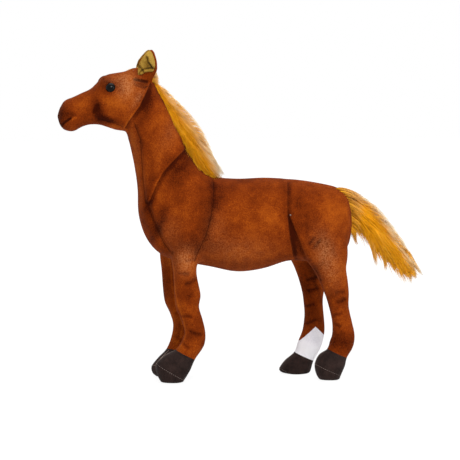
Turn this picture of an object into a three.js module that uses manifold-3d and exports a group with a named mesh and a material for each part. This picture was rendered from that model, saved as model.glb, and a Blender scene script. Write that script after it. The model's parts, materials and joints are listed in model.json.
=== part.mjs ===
// Plush horse, standing, in chestnut short-pile velour with a long-pile mane and tail.
//
// Millimetres, +Z up. The head looks along -X, the horse's left side is -Y and the tail is at +X.
// The origin lies on the floor, under the middle of the whole horse.
//
// The toy is sewn panels over loose filling. Each panel is a shell of its own, cut out of one lofted
// form along the seams, and the filling is a solid of the same form, one skin thickness further in.
// Where a limb meets the body it ends in a ball, round the axis on which the soft seam gives.
import * as THREE from 'three';
import Module from 'manifold-3d';
import { mergeVertices } from 'three/addons/utils/BufferGeometryUtils.js';

const wasm = await Module();
wasm.setup();

// Driving dimensions: trunk and neck
const trunkLength = 234;
const trunkDepth = 100;
const trunkWidth = 86;
const bellyHeight = 120;
const neckSpan = 92;
const neckRise = 123;
const neckWidth = 56;

// Driving dimensions: head, ears and eyes
const headLength = 92;
const headDepth = 67;
const headWidth = 50;
const earHeight = 31;
const earWidth = 21;
const earCup = 5;
const eyeDiameter = 10;
const eyeDome = 3.6;
const eyeShankDiameter = 3.2;
const eyeShankLength = 9;
const washerDiameter = 13;
const washerThickness = 2.4;

// Driving dimensions: legs and feet
const foreThickness = 30;
const foreWidth = 29;
const hindThickness = 44;
const hindWidth = 33;
const legTrack = 58;
const sockRise = 22;
const soleFlat = 0.5;

// Driving dimensions: mane and tail
const maneWidth = 20;
const maneStand = 17;
const forelockLength = 16;
const forelockWidth = 13;
const tailLength = 83;
const tailDepth = 34;
const tailWidth = 26;
const dockDiameter = 11;

// Cloth and sewing
const velourThickness = 2;
const suedeThickness = 1.2;
const earClothThickness = 1.5;
const throatGussetWidth = 34;
const undersideGussetWidth = 46;
const jawGussetWidth = 18;
const seamAllowance = 9;

// Clearances
const seamGap = 0.3;
const fillGap = 0.3;
const restGap = 0.3;
const jointGap = 0.5;
const shankGap = 0.25;
const overrun = 40;
const weld = 1e-5;

// Ranges over which the soft seams give, in degrees
const nodRange = 10;
const legRange = 12;
const earRange = 15;
const tailLiftRange = [-6, 30];
const tailSwingRange = 20;
const nodSlack = 1;
const legSlack = 1;

// Trunk sections from rump to withers. Each row: the point on the back and the point on the belly,
// as shares of trunk length forward from the rump and of trunk depth above the belly, then the width
// as a share of trunk width.
const trunkShares = [
  [0.006, 0.70, 0.004, 0.36, 0.30],
  [0.024, 0.82, 0.020, 0.22, 0.56],
  [0.066, 0.90, 0.066, 0.14, 0.76],
  [0.140, 0.94, 0.140, 0.10, 0.91],
  [0.225, 0.975, 0.225, 0.09, 0.95],
  [0.315, 1.00, 0.305, 0.10, 0.91],
  [0.420, 1.01, 0.420, 0.02, 0.97],
  [0.535, 1.00, 0.545, -0.01, 1.00],
  [0.643, 1.03, 0.667, 0.05, 0.99],
];
const rumpTipShares = [-0.004, 0.54];

// Neck sections from withers to poll. Each row: the point on the crest and the point on the throat,
// as shares of neck span forward from the withers and of neck rise above the back, then the width
// as a share of neck width.
const withersShare = 0.667;
const neckShares = [
  [0.12, 0.10, 0.26, -0.74, 1.50],
  [0.24, 0.22, 0.56, -0.68, 1.40],
  [0.33, 0.37, 0.75, -0.54, 1.26],
  [0.40, 0.49, 0.85, -0.32, 1.12],
  [0.48, 0.60, 0.86, -0.10, 1.00],
  [0.55, 0.70, 0.895, 0.10, 0.92],
  [0.62, 0.79, 0.94, 0.27, 0.86],
  [0.68, 0.87, 0.985, 0.40, 0.82],
  [0.74, 0.93, 1.02, 0.51, 0.78],
];
const neckTipShares = [0.89, 0.74];

// Head sections from muzzle to poll, as shares of head length and head depth from the nod axis
const headShares = [
  [0.970, -0.02, 0.970, -0.28, 0.46],
  [0.910, 0.11, 0.920, -0.36, 0.62],
  [0.815, 0.16, 0.815, -0.39, 0.68],
  [0.710, 0.23, 0.720, -0.32, 0.66],
  [0.600, 0.30, 0.620, -0.28, 0.70],
  [0.500, 0.43, 0.510, -0.28, 0.80],
  [0.420, 0.52, 0.410, -0.32, 0.92],
  [0.300, 0.55, 0.300, -0.37, 1.00],
  [0.180, 0.58, 0.190, -0.39, 1.00],
  [0.060, 0.64, 0.130, -0.41, 0.94],
  [-0.060, 0.52, 0.060, -0.41, 0.84],
  [-0.120, 0.30, -0.060, -0.34, 0.66],
];
const noseTipShares = [1.000, -0.14];
const headTailShares = [-0.180, -0.04];
const nodPlaceShares = [0.821, 0.662];
const nodSeamTilt = 25.6;
const nodBallShares = [0.412, 0.40];
const pollShare = 0.6;

// Leg sections from the swing axis to the sole. Each row: how far the middle lies forward of the
// axis and below it, as shares of leg length, the slope of the section in degrees, then thickness
// and width as shares of the leg's own. The hoof and the sole start at the rows named below.
const foreShares = [
  [0.000, 0.000, 0, 0.97, 0.97],
  [-0.008, 0.130, 5, 0.87, 0.93],
  [-0.021, 0.238, 5, 0.92, 0.90],
  [-0.029, 0.323, -4, 0.95, 0.90],
  [-0.027, 0.408, -5, 0.83, 0.83],
  [-0.060, 0.504, -3, 0.77, 0.79],
  [-0.083, 0.604, 3, 0.77, 0.76],
  [-0.065, 0.692, 10, 0.84, 0.79],
  [-0.006, 0.777, 28, 0.79, 0.86],
  [0.056, 0.842, 31, 1.07, 1.00],
  [0.113, 0.912, 31, 1.18, 1.03],
  [0.117, 0.958, 19, 1.02, 0.93],
  [0.108, 0.997, 3, 0.74, 0.74],
];
const hindShares = [
  [0.000, 0.000, 0, 0.97, 0.97],
  [-0.010, 0.061, -3, 1.01, 1.00],
  [-0.029, 0.125, -3, 0.84, 0.94],
  [-0.061, 0.225, -6, 0.70, 0.82],
  [-0.088, 0.336, -10, 0.58, 0.74],
  [-0.099, 0.435, -6, 0.48, 0.69],
  [-0.120, 0.542, 0, 0.49, 0.67],
  [-0.131, 0.645, 3, 0.56, 0.68],
  [-0.113, 0.721, 12, 0.60, 0.72],
  [-0.080, 0.790, 25, 0.53, 0.76],
  [-0.038, 0.844, 24, 0.70, 0.88],
  [-0.004, 0.916, 25, 0.71, 0.91],
  [-0.002, 0.962, 15, 0.62, 0.84],
  [-0.010, 0.997, 2, 0.48, 0.66],
];
const seamRowsFromEnd = { hoof: 5, sole: 3 };
const legTopShare = 0.25;
const legRoomRows = 5;
const legRoomShares = [-1, -0.5, 0.5, 1];
const forePlaceShares = [0.806, 0.195];
const hindPlaceShares = [0.138, 0.215];

// How each leg stands: how far ahead of its kind's place it is sewn on, as a share of leg track, how
// far it strides forward and the foot turns in about the ankle, in degrees, and how much lower than
// its kind the ankle is, as a share of leg length
const stances = {
  fore_left: { aheadShare: 0, stride: -0.4, footTurn: 0, ankleShare: 0 },
  fore_right: { aheadShare: 0.13, stride: -1.6, footTurn: 35, ankleShare: 0.06 },
  hind_left: { aheadShare: 0, stride: -1, footTurn: 0, ankleShare: 0 },
  hind_right: { aheadShare: 0.195, stride: 7, footTurn: 0, ankleShare: 0.075 },
};
const ankleSpanShares = [0.60, 0.86];
const footTurnShares = [0.36, 0.56];

// Seams on the trunk, each a line from the back to the belly side, in the trunk's or neck's shares
const neckSeamShares = { crest: [0.28, 0.27], throat: [0.86, -0.36] };
const girthSeamShares = { back: [0.653, 1.0], belly: [0.723, 0.2] };
const flankSeamShare = 0.303;

// Outline of the strip that the gussets are cut from: down the throat, along the underside and back,
// well clear of the horse
const throatStripShares = [[0.95, 1.2], [0.62, -0.30]];
const undersideStripShares = [[0.70, 0.50], [0.10, 0.36], [-0.15, 0.36], [-0.15, -0.5], [1.30, -0.5]];
const aheadStripShares = [1.60, 1.2];
const jawStripShares = [0.74, -0.10];

// Mane sections along the crest, as shares of neck span and rise, then stand and width as shares
const maneShares = [
  [0.665, 0.835, 0.38, 0.55],
  [0.585, 0.725, 0.55, 0.80],
  [0.490, 0.600, 0.84, 0.95],
  [0.405, 0.470, 1.14, 1.00],
  [0.325, 0.340, 1.34, 1.00],
  [0.225, 0.200, 1.30, 0.95],
  [0.110, 0.085, 0.95, 0.80],
];
const maneEndShares = [[0.700, 0.900], [-0.020, 0.030]];
const maneRootShare = 0.45;

// Forelock sections over the forehead, as shares of head length and depth, then width as a share
const forelockShares = [
  [0.02, 0.655, 0.8],
  [0.07, 0.655, 1.0],
  [0.12, 0.635, 0.7],
];
const forelockStartShares = [-0.01, 0.61];
const forelockDepthShare = 0.16;

// Tail sections from the dock, as shares of tail length behind and below it, the slope in degrees,
// then depth and width as shares
const tailShares = [
  [0.10, 0.09, 8, 1.00, 0.62],
  [0.17, 0.12, 13, 1.05, 0.90],
  [0.28, 0.21, 21, 1.00, 1.00],
  [0.42, 0.36, 27, 0.94, 1.00],
  [0.56, 0.53, 28, 0.86, 0.92],
  [0.72, 0.71, 27, 0.71, 0.78],
  [0.87, 0.88, 28, 0.46, 0.52],
];
const tailEndShares = [[0.05, 0.00], [1.00, 0.96]];
const tailPlaceShares = [0.030, 0.735];

// Ear outline: width as a share at each share of the height, and the cup at each
const earShares = [
  [0.00, 0.66, 1.00],
  [0.20, 0.88, 1.00],
  [0.42, 1.00, 0.90],
  [0.62, 0.90, 0.75],
  [0.80, 0.62, 0.55],
  [0.93, 0.30, 0.35],
];
const earPlaceShares = [-0.060, 0.475];
const earSpreadShare = 0.26;
const earLean = 12;
const earTurn = 14;
const earBack = { left: 8, right: 14 };
const liningShare = 0.9;

// Where the eye sits: a row of the head's sections, counted from the muzzle, and degrees round it
const eyePlace = { row: 6.3, angle: 60.5 };

// Mesh fineness: points round a section, steps between rows, and points round a ball
const fine = { round: 16, steps: 2, ball: 14 };
const plain = { round: 10, steps: 1, ball: 12 };
const headFine = { round: 14, steps: 2, ball: 14 };
const headPlain = { round: 8, steps: 1, ball: 12 };
const limbFine = { round: 12, steps: 1, ball: 12 };
const limbPlain = { round: 6, steps: 1, ball: 8 };
const furMesh = { round: 12, steps: 2 };
const tuftMesh = { round: 10, steps: 1 };
const dockSegments = 12;
const eyeSegments = 16;
const eyeDomeSegments = 5;
const washerSegments = 14;
const shankSegments = 8;
const headFinderSteps = 10;
const leafSegments = 6;
const squareness = 2.3;
const tipInsetShare = 0.9;

const turn = (degrees) => (degrees * Math.PI) / 180;

// Materials
const cloth = (color, roughness = 0.9) =>
  new THREE.MeshStandardMaterial({ color, roughness, metalness: 0 });
const chestnut = cloth(0x96461a);
const chestnutDark = cloth(0x7d3613);
const chestnutPale = cloth(0xa5581f);
const hoofSuede = cloth(0x32282a);
const soleSuede = cloth(0x3a3032);
const sockPlush = cloth(0xe2e0e6);
const liningSuede = cloth(0xa57d2d);
const longPile = cloth(0xe19b2d);
const filling = cloth(0xf1efe9);
const eyePlastic = cloth(0x0c0908, 0.12);
const washerPlastic = cloth(0xe8e8e4, 0.5);

// From here on, shapes are manifold solids; they turn into meshes in the last section
function solid(geometry) {
  let plainGeometry = geometry.clone();
  plainGeometry.deleteAttribute('normal');
  plainGeometry.deleteAttribute('uv');
  plainGeometry = mergeVertices(plainGeometry, weld);
  return new wasm.Manifold(new wasm.Mesh({
    numProp: 3,
    vertProperties: new Float32Array(plainGeometry.attributes.position.array),
    triVerts: new Uint32Array(plainGeometry.index.array),
  }));
}

function placed(geometry, matrix) {
  return solid(geometry.clone().applyMatrix4(matrix));
}

// A section is { mid, half, wide }: its middle, half its depth as a vector in the XZ plane, and half
// its width along Y.
function section(top, bottom, width, y = 0) {
  const mid = new THREE.Vector3((top.x + bottom.x) / 2, y, (top.z + bottom.z) / 2);
  const half = new THREE.Vector3((top.x - bottom.x) / 2, 0, (top.z - bottom.z) / 2);
  return { mid, half, wide: width / 2 };
}

const catmull = (a, b, c, d, t) => 0.5 * (
  2 * b + (c - a) * t + (2 * a - 5 * b + 4 * c - d) * t * t + (3 * b - a - 3 * c + d) * t * t * t
);

function between(sections, steps) {
  const last = sections.length - 1;
  const rings = [];
  for (let i = 0; i < last; i += 1) {
    const four = [Math.max(i - 1, 0), i, i + 1, Math.min(i + 2, last)].map((k) => sections[k]);
    for (let s = 0; s < steps; s += 1) {
      const blend = (pick) => catmull(...four.map(pick), s / steps);
      rings.push({
        mid: new THREE.Vector3(blend((r) => r.mid.x), blend((r) => r.mid.y), blend((r) => r.mid.z)),
        half: new THREE.Vector3(blend((r) => r.half.x), 0, blend((r) => r.half.z)),
        wide: blend((r) => r.wide),
      });
    }
  }
  rings.push(sections[last]);
  return rings;
}

function ringPoint(ring, angle, inset) {
  const bulge = (v) => Math.sign(v) * Math.abs(v) ** (2 / squareness);
  const depth = ring.half.length();
  const along = ring.half.clone().multiplyScalar((bulge(Math.cos(angle)) * (depth - inset)) / depth);
  const across = bulge(Math.sin(angle)) * (ring.wide - inset);
  return ring.mid.clone().add(along).add(new THREE.Vector3(0, across, 0));
}

// A stuffed form: rings through the sections, closed by a tip at each end. An inset shrinks it all
// round, for the inside of the cloth and for the filling.
function stuffed(sections, tips, mesh, inset = 0) {
  const rings = between(sections, mesh.steps);
  const points = [];
  const faces = [];
  const pull = (tip, ring) => {
    const inward = ring.mid.clone().sub(tip);
    const reach = Math.min(inset, inward.length() * tipInsetShare);
    return tip.clone().add(inward.setLength(reach));
  };
  for (const ring of rings) {
    for (let i = 0; i < mesh.round; i += 1) {
      points.push(ringPoint(ring, (2 * Math.PI * i) / mesh.round, inset));
    }
  }
  const start = points.push(pull(tips[0], rings[0])) - 1;
  const end = points.push(pull(tips[1], rings[rings.length - 1])) - 1;
  for (let r = 0; r < rings.length - 1; r += 1) {
    for (let i = 0; i < mesh.round; i += 1) {
      const a = r * mesh.round + i;
      const b = r * mesh.round + ((i + 1) % mesh.round);
      faces.push(a, b, a + mesh.round, b, b + mesh.round, a + mesh.round);
    }
  }
  const lastRing = (rings.length - 1) * mesh.round;
  for (let i = 0; i < mesh.round; i += 1) {
    const j = (i + 1) % mesh.round;
    faces.push(start, j, i);
    faces.push(end, lastRing + i, lastRing + j);
  }
  const geometry = new THREE.BufferGeometry();
  const flat = points.flatMap((p) => [p.x, p.y, p.z]);
  geometry.setAttribute('position', new THREE.Float32BufferAttribute(flat, 3));
  geometry.setIndex(faces);
  return facingOut(geometry);
}

function facingOut(geometry) {
  const p = geometry.attributes.position;
  const index = geometry.index.array;
  const corner = (k) => new THREE.Vector3().fromBufferAttribute(p, index[k]);
  let volume = 0;
  for (let k = 0; k < index.length; k += 3) {
    volume += corner(k).dot(corner(k + 1).cross(corner(k + 2)));
  }
  if (volume < 0) {
    for (let k = 0; k < index.length; k += 3) {
      [index[k], index[k + 1]] = [index[k + 1], index[k]];
    }
  }
  return solid(geometry);
}

// A ball that is round about an axis along Y and flatter or fuller along it
function ball(centre, radius, halfWidth, round) {
  const rows = round / 2;
  const outline = [];
  for (let i = 0; i <= rows; i += 1) {
    const angle = (Math.PI * i) / rows;
    const onAxis = i === 0 || i === rows;
    outline.push(new THREE.Vector2(onAxis ? 0 : radius * Math.sin(angle), -halfWidth * Math.cos(angle)));
  }
  return placed(
    new THREE.LatheGeometry(outline, round),
    new THREE.Matrix4().makeTranslation(centre.x, centre.y, centre.z),
  );
}

// The room round a ball, whose flat facets all stay the gap clear of it
function ballRoom(centre, radius, halfWidth, round) {
  const outside = 1 / Math.cos(Math.PI / round) ** 2;
  return ball(centre, (radius + jointGap) * outside, (halfWidth + jointGap) * outside, round);
}

// A prism along Y over an outline in the XZ plane
function prism(outline, fromY, toY) {
  const shape = new THREE.Shape(outline.map((p) => new THREE.Vector2(p.x, p.z)));
  const geometry = new THREE.ExtrudeGeometry(shape, { depth: toY - fromY, bevelEnabled: false });
  geometry.applyMatrix4(new THREE.Matrix4().makeRotationX(Math.PI / 2));
  geometry.applyMatrix4(new THREE.Matrix4().makeTranslation(0, toY, 0));
  return facingOut(mergeVertices(stripped(geometry), weld));
}

function stripped(geometry) {
  geometry.deleteAttribute('normal');
  geometry.deleteAttribute('uv');
  return geometry;
}

const flat = (x, z) => new THREE.Vector3(x, 0, z);
const cutReach = trunkWidth;

// All that lies ahead of a line across the XZ plane, from its upper to its lower end, moved ahead
// by a shift. Seams are cut with it, half a seam gap to each side.
function aheadOf(upper, lower, shift = 0) {
  const along = lower.clone().sub(upper).normalize();
  const ahead = flat(along.z, -along.x);
  const reach = trunkLength + neckRise + headLength;
  const a = upper.clone().addScaledVector(along, -reach).addScaledVector(ahead, shift);
  const b = lower.clone().addScaledVector(along, reach).addScaledVector(ahead, shift);
  const far = ahead.clone().multiplyScalar(reach);
  return prism([a, b, b.clone().add(far), a.clone().add(far)], -cutReach, cutReach);
}

function boxBetween(low, high) {
  const size = high.clone().sub(low);
  const mid = high.clone().add(low).multiplyScalar(0.5);
  return placed(
    new THREE.BoxGeometry(size.x, size.y, size.z),
    new THREE.Matrix4().makeTranslation(mid.x, mid.y, mid.z),
  );
}

// Places shared by the pieces. The rump is at x = 0 and everything ahead of it is negative; the last
// section moves the whole horse so that the origin is under its middle.
const backHeight = bellyHeight + trunkDepth;
const trunkPoint = (forward, up) => flat(-forward * trunkLength, bellyHeight + up * trunkDepth);
const withers = flat(-withersShare * trunkLength, backHeight);
const neckPoint = (forward, up) => flat(withers.x - forward * neckSpan, withers.z + up * neckRise);
const nodAxis = neckPoint(...nodPlaceShares);
const headPoint = (forward, up) => flat(nodAxis.x - forward * headLength, nodAxis.z + up * headDepth);
const nodBall = { radius: nodBallShares[0] * headDepth, halfWidth: nodBallShares[1] * headWidth };
const nodSeam = {
  down: flat(-Math.sin(turn(nodSeamTilt)), -Math.cos(turn(nodSeamTilt))),
  ahead: flat(-Math.cos(turn(nodSeamTilt)), Math.sin(turn(nodSeamTilt))),
};
const forePlace = trunkPoint(...forePlaceShares);
const hindPlace = trunkPoint(...hindPlaceShares);
const tailPlace = trunkPoint(...tailPlaceShares);
const floorCut = () => boxBetween(
  new THREE.Vector3(-trunkLength - neckSpan - headLength, -cutReach, -overrun),
  new THREE.Vector3(tailLength, cutReach, 0),
);

// Legs
const legKinds = {
  fore: { rows: foreShares, place: forePlace, thick: foreThickness, wide: foreWidth },
  hind: { rows: hindShares, place: hindPlace, thick: hindThickness, wide: hindWidth },
};

// How much of an ankle's drop a section takes: all at the ankle, none at knee and sole
function lowered(down) {
  const [knee, ankle] = ankleSpanShares;
  if (down < ankle) return Math.max(0, (down - knee) / (ankle - knee));
  return 1 - ((down - ankle) / (1 - ankle)) ** 2;
}

// A leg's own frame, with its axis at the origin. A stride slants the leg and leaves the foot level.
function legFrame(kind, side) {
  const { rows, place, thick, wide } = legKinds[kind];
  const stance = stances[`${kind}_${side}`];
  const length = place.z;
  const slant = Math.tan(turn(stance.stride));
  const x = place.x - stance.aheadShare * legTrack;
  const y = side === 'left' ? -legTrack / 2 : legTrack / 2;
  const toTrunk = new THREE.Matrix4().makeTranslation(x, y, place.z);
  const local = (ahead, down) => flat(-(ahead + slant * down) * length, -down * length);
  const rowLine = ([ahead, down, slope]) => {
    const back = flat(Math.cos(turn(slope)), -Math.sin(turn(slope)));
    return { mid: local(ahead, down + stance.ankleShare * lowered(down)), back };
  };
  const sections = rows.map((row) => {
    const { mid, back } = rowLine(row);
    const reach = (row[3] * thick) / 2;
    return section(
      mid.clone().addScaledVector(back, -reach),
      mid.clone().addScaledVector(back, reach),
      row[4] * wide,
    );
  });
  const seamAt = (fromEnd) => rowLine(rows[rows.length - fromEnd]);
  const tip = local(rows[rows.length - 1][0], 1).add(flat(0, -soleFlat));
  return { sections, tip, toTrunk, thick, wide, side, seamAt, length, footTurn: stance.footTurn };
}

// Turns the foot in about a vertical line through the ankle. The turn builds up through the ankle
// and is whole in the hoof.
function footTurned(shape, frame) {
  const ankle = frame.seamAt(seamRowsFromEnd.hoof + 1).mid.clone().applyMatrix4(frame.toTrunk);
  const [whole, none] = footTurnShares.map((share) => share * frame.length);
  const way = frame.side === 'left' ? -1 : 1;
  return shape.warp((point) => {
    const share = 1 - THREE.MathUtils.smoothstep(point[2], whole, none);
    const angle = way * turn(frame.footTurn) * share;
    const [x, y] = [point[0] - ankle.x, point[1] - ankle.y];
    point[0] = ankle.x + x * Math.cos(angle) - y * Math.sin(angle);
    point[1] = ankle.y + x * Math.sin(angle) + y * Math.cos(angle);
  });
}

function moved(shape, matrix) {
  return shape.transform([...matrix.elements]);
}

// A piece without the crumbs that cuts leave at its corners
function mainBody(shape) {
  return shape.decompose().reduce((most, body) => (body.volume() > most.volume() ? body : most));
}

// The leg's form: a tapering stuffed tube with a ball at the top
function legForm(frame, mesh, inset = 0) {
  const start = frame.sections[0].mid.clone().add(flat(0, frame.thick * legTopShare));
  const tube = stuffed(frame.sections, [start, frame.tip], mesh, inset);
  const top = ball(flat(0, 0), frame.thick / 2 - inset, frame.wide / 2 - inset, mesh.ball);
  return tube.add(top);
}

// The room that the leg needs while it swings: all the places of its upper part through the range
function legRoom(frame) {
  const start = frame.sections[0].mid.clone().add(flat(0, frame.thick * legTopShare));
  const upper = frame.sections.slice(0, legRoomRows);
  const tube = stuffed(upper, [start, frame.sections[legRoomRows].mid], limbFine, -jointGap);
  const top = ballRoom(flat(0, 0), frame.thick / 2, frame.wide / 2, limbFine.ball);
  let room = tube.add(top);
  for (const share of legRoomShares) {
    const angle = turn(share * (legRange + legSlack));
    room = room.add(moved(tube, new THREE.Matrix4().makeRotationY(angle)));
  }
  return moved(room, frame.toTrunk);
}

// All that lies below a seam line of the leg, in the leg's own frame
function below(line, shift = 0) {
  const down = flat(line.back.z, -line.back.x);
  const a = line.mid.clone().addScaledVector(line.back, -trunkDepth).addScaledVector(down, shift);
  const b = line.mid.clone().addScaledVector(line.back, trunkDepth).addScaledVector(down, shift);
  const far = down.clone().multiplyScalar(trunkDepth);
  return prism([a, b, b.clone().add(far), a.clone().add(far)], -cutReach, cutReach);
}

// The sock's upper edge: a zigzag with its peak in the middle of the leg's side
const sockEdgeShares = [[-1.6, -0.45], [-0.52, -0.45], [0.02, 0.12], [0.45, -0.30], [1.6, -0.30]];
function belowSockEdge(frame, shift = 0) {
  const { mid, back } = frame.seamAt(seamRowsFromEnd.hoof);
  const thick = frame.sections[frame.sections.length - seamRowsFromEnd.hoof].half.length() * 2;
  const edge = sockEdgeShares.map(([across, up]) => (
    mid.clone().add(flat(0, sockRise)).add(flat(across * thick, up * thick - shift))
  ));
  const down = flat(0, -sockRise * 4);
  const outline = [...edge, edge[edge.length - 1].clone().add(down), edge[0].clone().add(down)];
  return prism(outline, -cutReach, cutReach);
}

function leg(kind, side, sock) {
  const frame = legFrame(kind, side);
  const outer = legForm(frame, limbFine);
  const skin = outer.subtract(legForm(frame, limbPlain, velourThickness));
  const shoeSkin = outer.subtract(legForm(frame, limbPlain, suedeThickness));
  const hoofLine = frame.seamAt(seamRowsFromEnd.hoof);
  const soleLine = frame.seamAt(seamRowsFromEnd.sole);
  // The skin is turned in at the top, and the filling runs on into the body on the inner side
  const inner = side === 'left' ? frame.wide : -frame.wide;
  const cap = boxBetween(
    new THREE.Vector3(-frame.thick, Math.min(0, inner), frame.thick * legTopShare),
    new THREE.Vector3(frame.thick, Math.max(0, inner), frame.thick),
  );
  const pieces = {};
  let tube = skin.subtract(below(hoofLine, -seamGap / 2)).subtract(cap);
  if (sock) {
    pieces.sock = tube.intersect(belowSockEdge(frame, seamGap / 2));
    tube = tube.subtract(belowSockEdge(frame, -seamGap / 2));
  }
  pieces.skin = tube;
  pieces.hoof = shoeSkin.intersect(below(hoofLine, seamGap / 2)).subtract(below(soleLine, -seamGap / 2));
  pieces.sole = outer.intersect(below(soleLine, seamGap / 2));
  pieces.stuffing = legForm(frame, limbPlain, velourThickness + fillGap)
    .subtract(below(soleLine, -seamGap));
  for (const name of Object.keys(pieces)) {
    pieces[name] = moved(pieces[name], frame.toTrunk).subtract(floorCut());
    if (frame.footTurn) pieces[name] = footTurned(pieces[name], frame);
  }
  return { frame, pieces };
}

// Head
const headSections = headShares.map(([topAhead, topUp, lowAhead, lowUp, width]) => (
  section(headPoint(topAhead, topUp), headPoint(lowAhead, lowUp), width * headWidth)
));
const headTips = [headPoint(...noseTipShares), headPoint(...headTailShares)];

// Everything behind the nod axis that would strike the neck's edge as the head nods: a wide V with
// its point on the axis, open to the front
function behindNod(inset) {
  const apex = nodAxis.clone().addScaledVector(nodSeam.ahead, inset);
  const lean = Math.tan(turn(nodRange + nodSlack));
  const reach = neckRise;
  const edge = (way) => apex.clone()
    .addScaledVector(nodSeam.down, way * reach)
    .addScaledVector(nodSeam.ahead, lean * reach);
  const rear = nodSeam.ahead.clone().multiplyScalar(-reach * 2);
  return prism([apex, edge(1), edge(1).add(rear), edge(-1).add(rear), edge(-1)], -cutReach, cutReach);
}

function headForm(mesh, inset = 0) {
  return stuffed(headSections, headTips, mesh, inset)
    .subtract(behindNod(inset))
    .add(ball(nodAxis, nodBall.radius - inset, nodBall.halfWidth - inset, mesh.ball));
}

// A place on the head's skin, and the way that it faces
function onHead(row, angle) {
  const rings = between(headSections, headFinderSteps);
  const at = (k, a) => ringPoint(rings[k], turn(a), 0);
  const k = Math.round(row * headFinderSteps);
  const point = at(k, angle);
  const forward = at(k - 1, angle).sub(at(k + 1, angle));
  const around = at(k, angle + 3).sub(at(k, angle - 3));
  const normal = forward.cross(around).normalize();
  if (normal.y * point.y < 0) normal.negate();
  return { point, normal };
}

function standingOn(place) {
  const turned = new THREE.Quaternion().setFromUnitVectors(new THREE.Vector3(0, 1, 0), place.normal);
  return new THREE.Matrix4().compose(place.point, turned, new THREE.Vector3(1, 1, 1));
}

function rod(radius, fromDepth, toDepth, matrix, round) {
  const height = toDepth - fromDepth;
  const along = new THREE.Matrix4().makeTranslation(0, (fromDepth + toDepth) / 2, 0);
  return placed(new THREE.CylinderGeometry(radius, radius, height, round), matrix.clone().multiply(along));
}

function eye(side, headOuterGrown, headInside) {
  const place = onHead(eyePlace.row, side === 'left' ? -eyePlace.angle : eyePlace.angle);
  const matrix = standingOn(place);
  const domeOutline = [new THREE.Vector2(0, -eyeDome / 2)];
  for (let i = 0; i <= eyeDomeSegments; i += 1) {
    const a = (Math.PI * i) / (2 * eyeDomeSegments);
    const radius = i === eyeDomeSegments ? 0 : (eyeDiameter / 2) * Math.cos(a);
    domeOutline.push(new THREE.Vector2(radius, eyeDome * Math.sin(a)));
  }
  domeOutline.splice(1, 0, new THREE.Vector2(eyeDiameter / 2, -eyeDome / 2));
  const dome = placed(new THREE.LatheGeometry(domeOutline, eyeSegments), matrix).subtract(headOuterGrown);
  const shank = rod(eyeShankDiameter / 2, -eyeShankLength, eyeDome / 3, matrix, shankSegments);
  const holeRadius = eyeShankDiameter / 2 + shankGap;
  const hole = rod(holeRadius, -eyeShankLength - shankGap, eyeDome, matrix, shankSegments);
  const seat = velourThickness + fillGap;
  const washer = rod(washerDiameter / 2, -seat - washerThickness, 0, matrix, washerSegments)
    .intersect(headInside)
    .subtract(hole);
  const floor = -seat - washerThickness - fillGap;
  const pocket = rod(washerDiameter / 2 + fillGap, floor, eyeDome, matrix, washerSegments);
  return { eye: dome.add(shank), hole, washer, pocket: pocket.add(hole) };
}

// Ear: a cupped leaf. Its own frame has the width along X, the height along Z and the lining's
// side towards -Y.
function leaf(offset, thickness, widthShare) {
  const across = leafSegments;
  const points = [];
  const faces = [];
  const around = across * 2 + 2;
  for (const [up, wide, cup] of earShares) {
    const halfWidth = (wide * earWidth * widthShare) / 2;
    for (let i = 0; i < around; i += 1) {
      const front = i <= across;
      const t = front ? i / across : (around - 1 - i) / across;
      const s = t * 2 - 1;
      const depth = offset + (front ? 0 : thickness) - cup * earCup * s * s;
      points.push(new THREE.Vector3(s * halfWidth, depth, up * earHeight));
    }
  }
  for (let r = 0; r < earShares.length - 1; r += 1) {
    for (let i = 0; i < around; i += 1) {
      const a = r * around + i;
      const b = r * around + ((i + 1) % around);
      faces.push(a, b, a + around, b, b + around, a + around);
    }
  }
  const lastRing = (earShares.length - 1) * around;
  const tip = points.push(new THREE.Vector3(0, offset + thickness / 2, earHeight)) - 1;
  for (let i = 0; i < around; i += 1) {
    faces.push(tip, lastRing + i, lastRing + ((i + 1) % around));
  }
  for (let i = 0; i < across; i += 1) {
    const j = around - 1 - i;
    faces.push(i, j, i + 1, i + 1, j, j - 1);
  }
  const geometry = new THREE.BufferGeometry();
  const flatPoints = points.flatMap((p) => [p.x, p.y, p.z]);
  geometry.setAttribute('position', new THREE.Float32BufferAttribute(flatPoints, 3));
  geometry.setIndex(faces);
  return facingOut(geometry);
}

const earBase = (side) => {
  const place = headPoint(...earPlaceShares);
  place.y = (side === 'left' ? -1 : 1) * earSpreadShare * headWidth;
  return place;
};

function ear(side, headOuterGrown) {
  const way = side === 'left' ? 1 : -1;
  const base = earBase(side);
  const matrix = new THREE.Matrix4().makeTranslation(base.x, base.y, base.z)
    .multiply(new THREE.Matrix4().makeRotationY(turn(earBack[side])))
    .multiply(new THREE.Matrix4().makeRotationX(way * turn(earLean)))
    .multiply(new THREE.Matrix4().makeRotationZ(way * turn(-earTurn)))
    .multiply(new THREE.Matrix4().makeScale(1, way, 1));
  const room = [-earRange, 0, earRange].map((angle) => {
    const about = new THREE.Matrix4().makeTranslation(base.x, base.y, base.z)
      .multiply(new THREE.Matrix4().makeRotationX(turn(angle)))
      .multiply(new THREE.Matrix4().makeTranslation(-base.x, -base.y, -base.z));
    return moved(headOuterGrown, about);
  });
  const seated = (shape) => room.reduce((left, cut) => left.subtract(cut), moved(shape, matrix));
  return {
    outer: seated(leaf(0, earClothThickness, 1)),
    lining: seated(leaf(-seamGap - suedeThickness, suedeThickness, liningShare)),
  };
}

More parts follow.
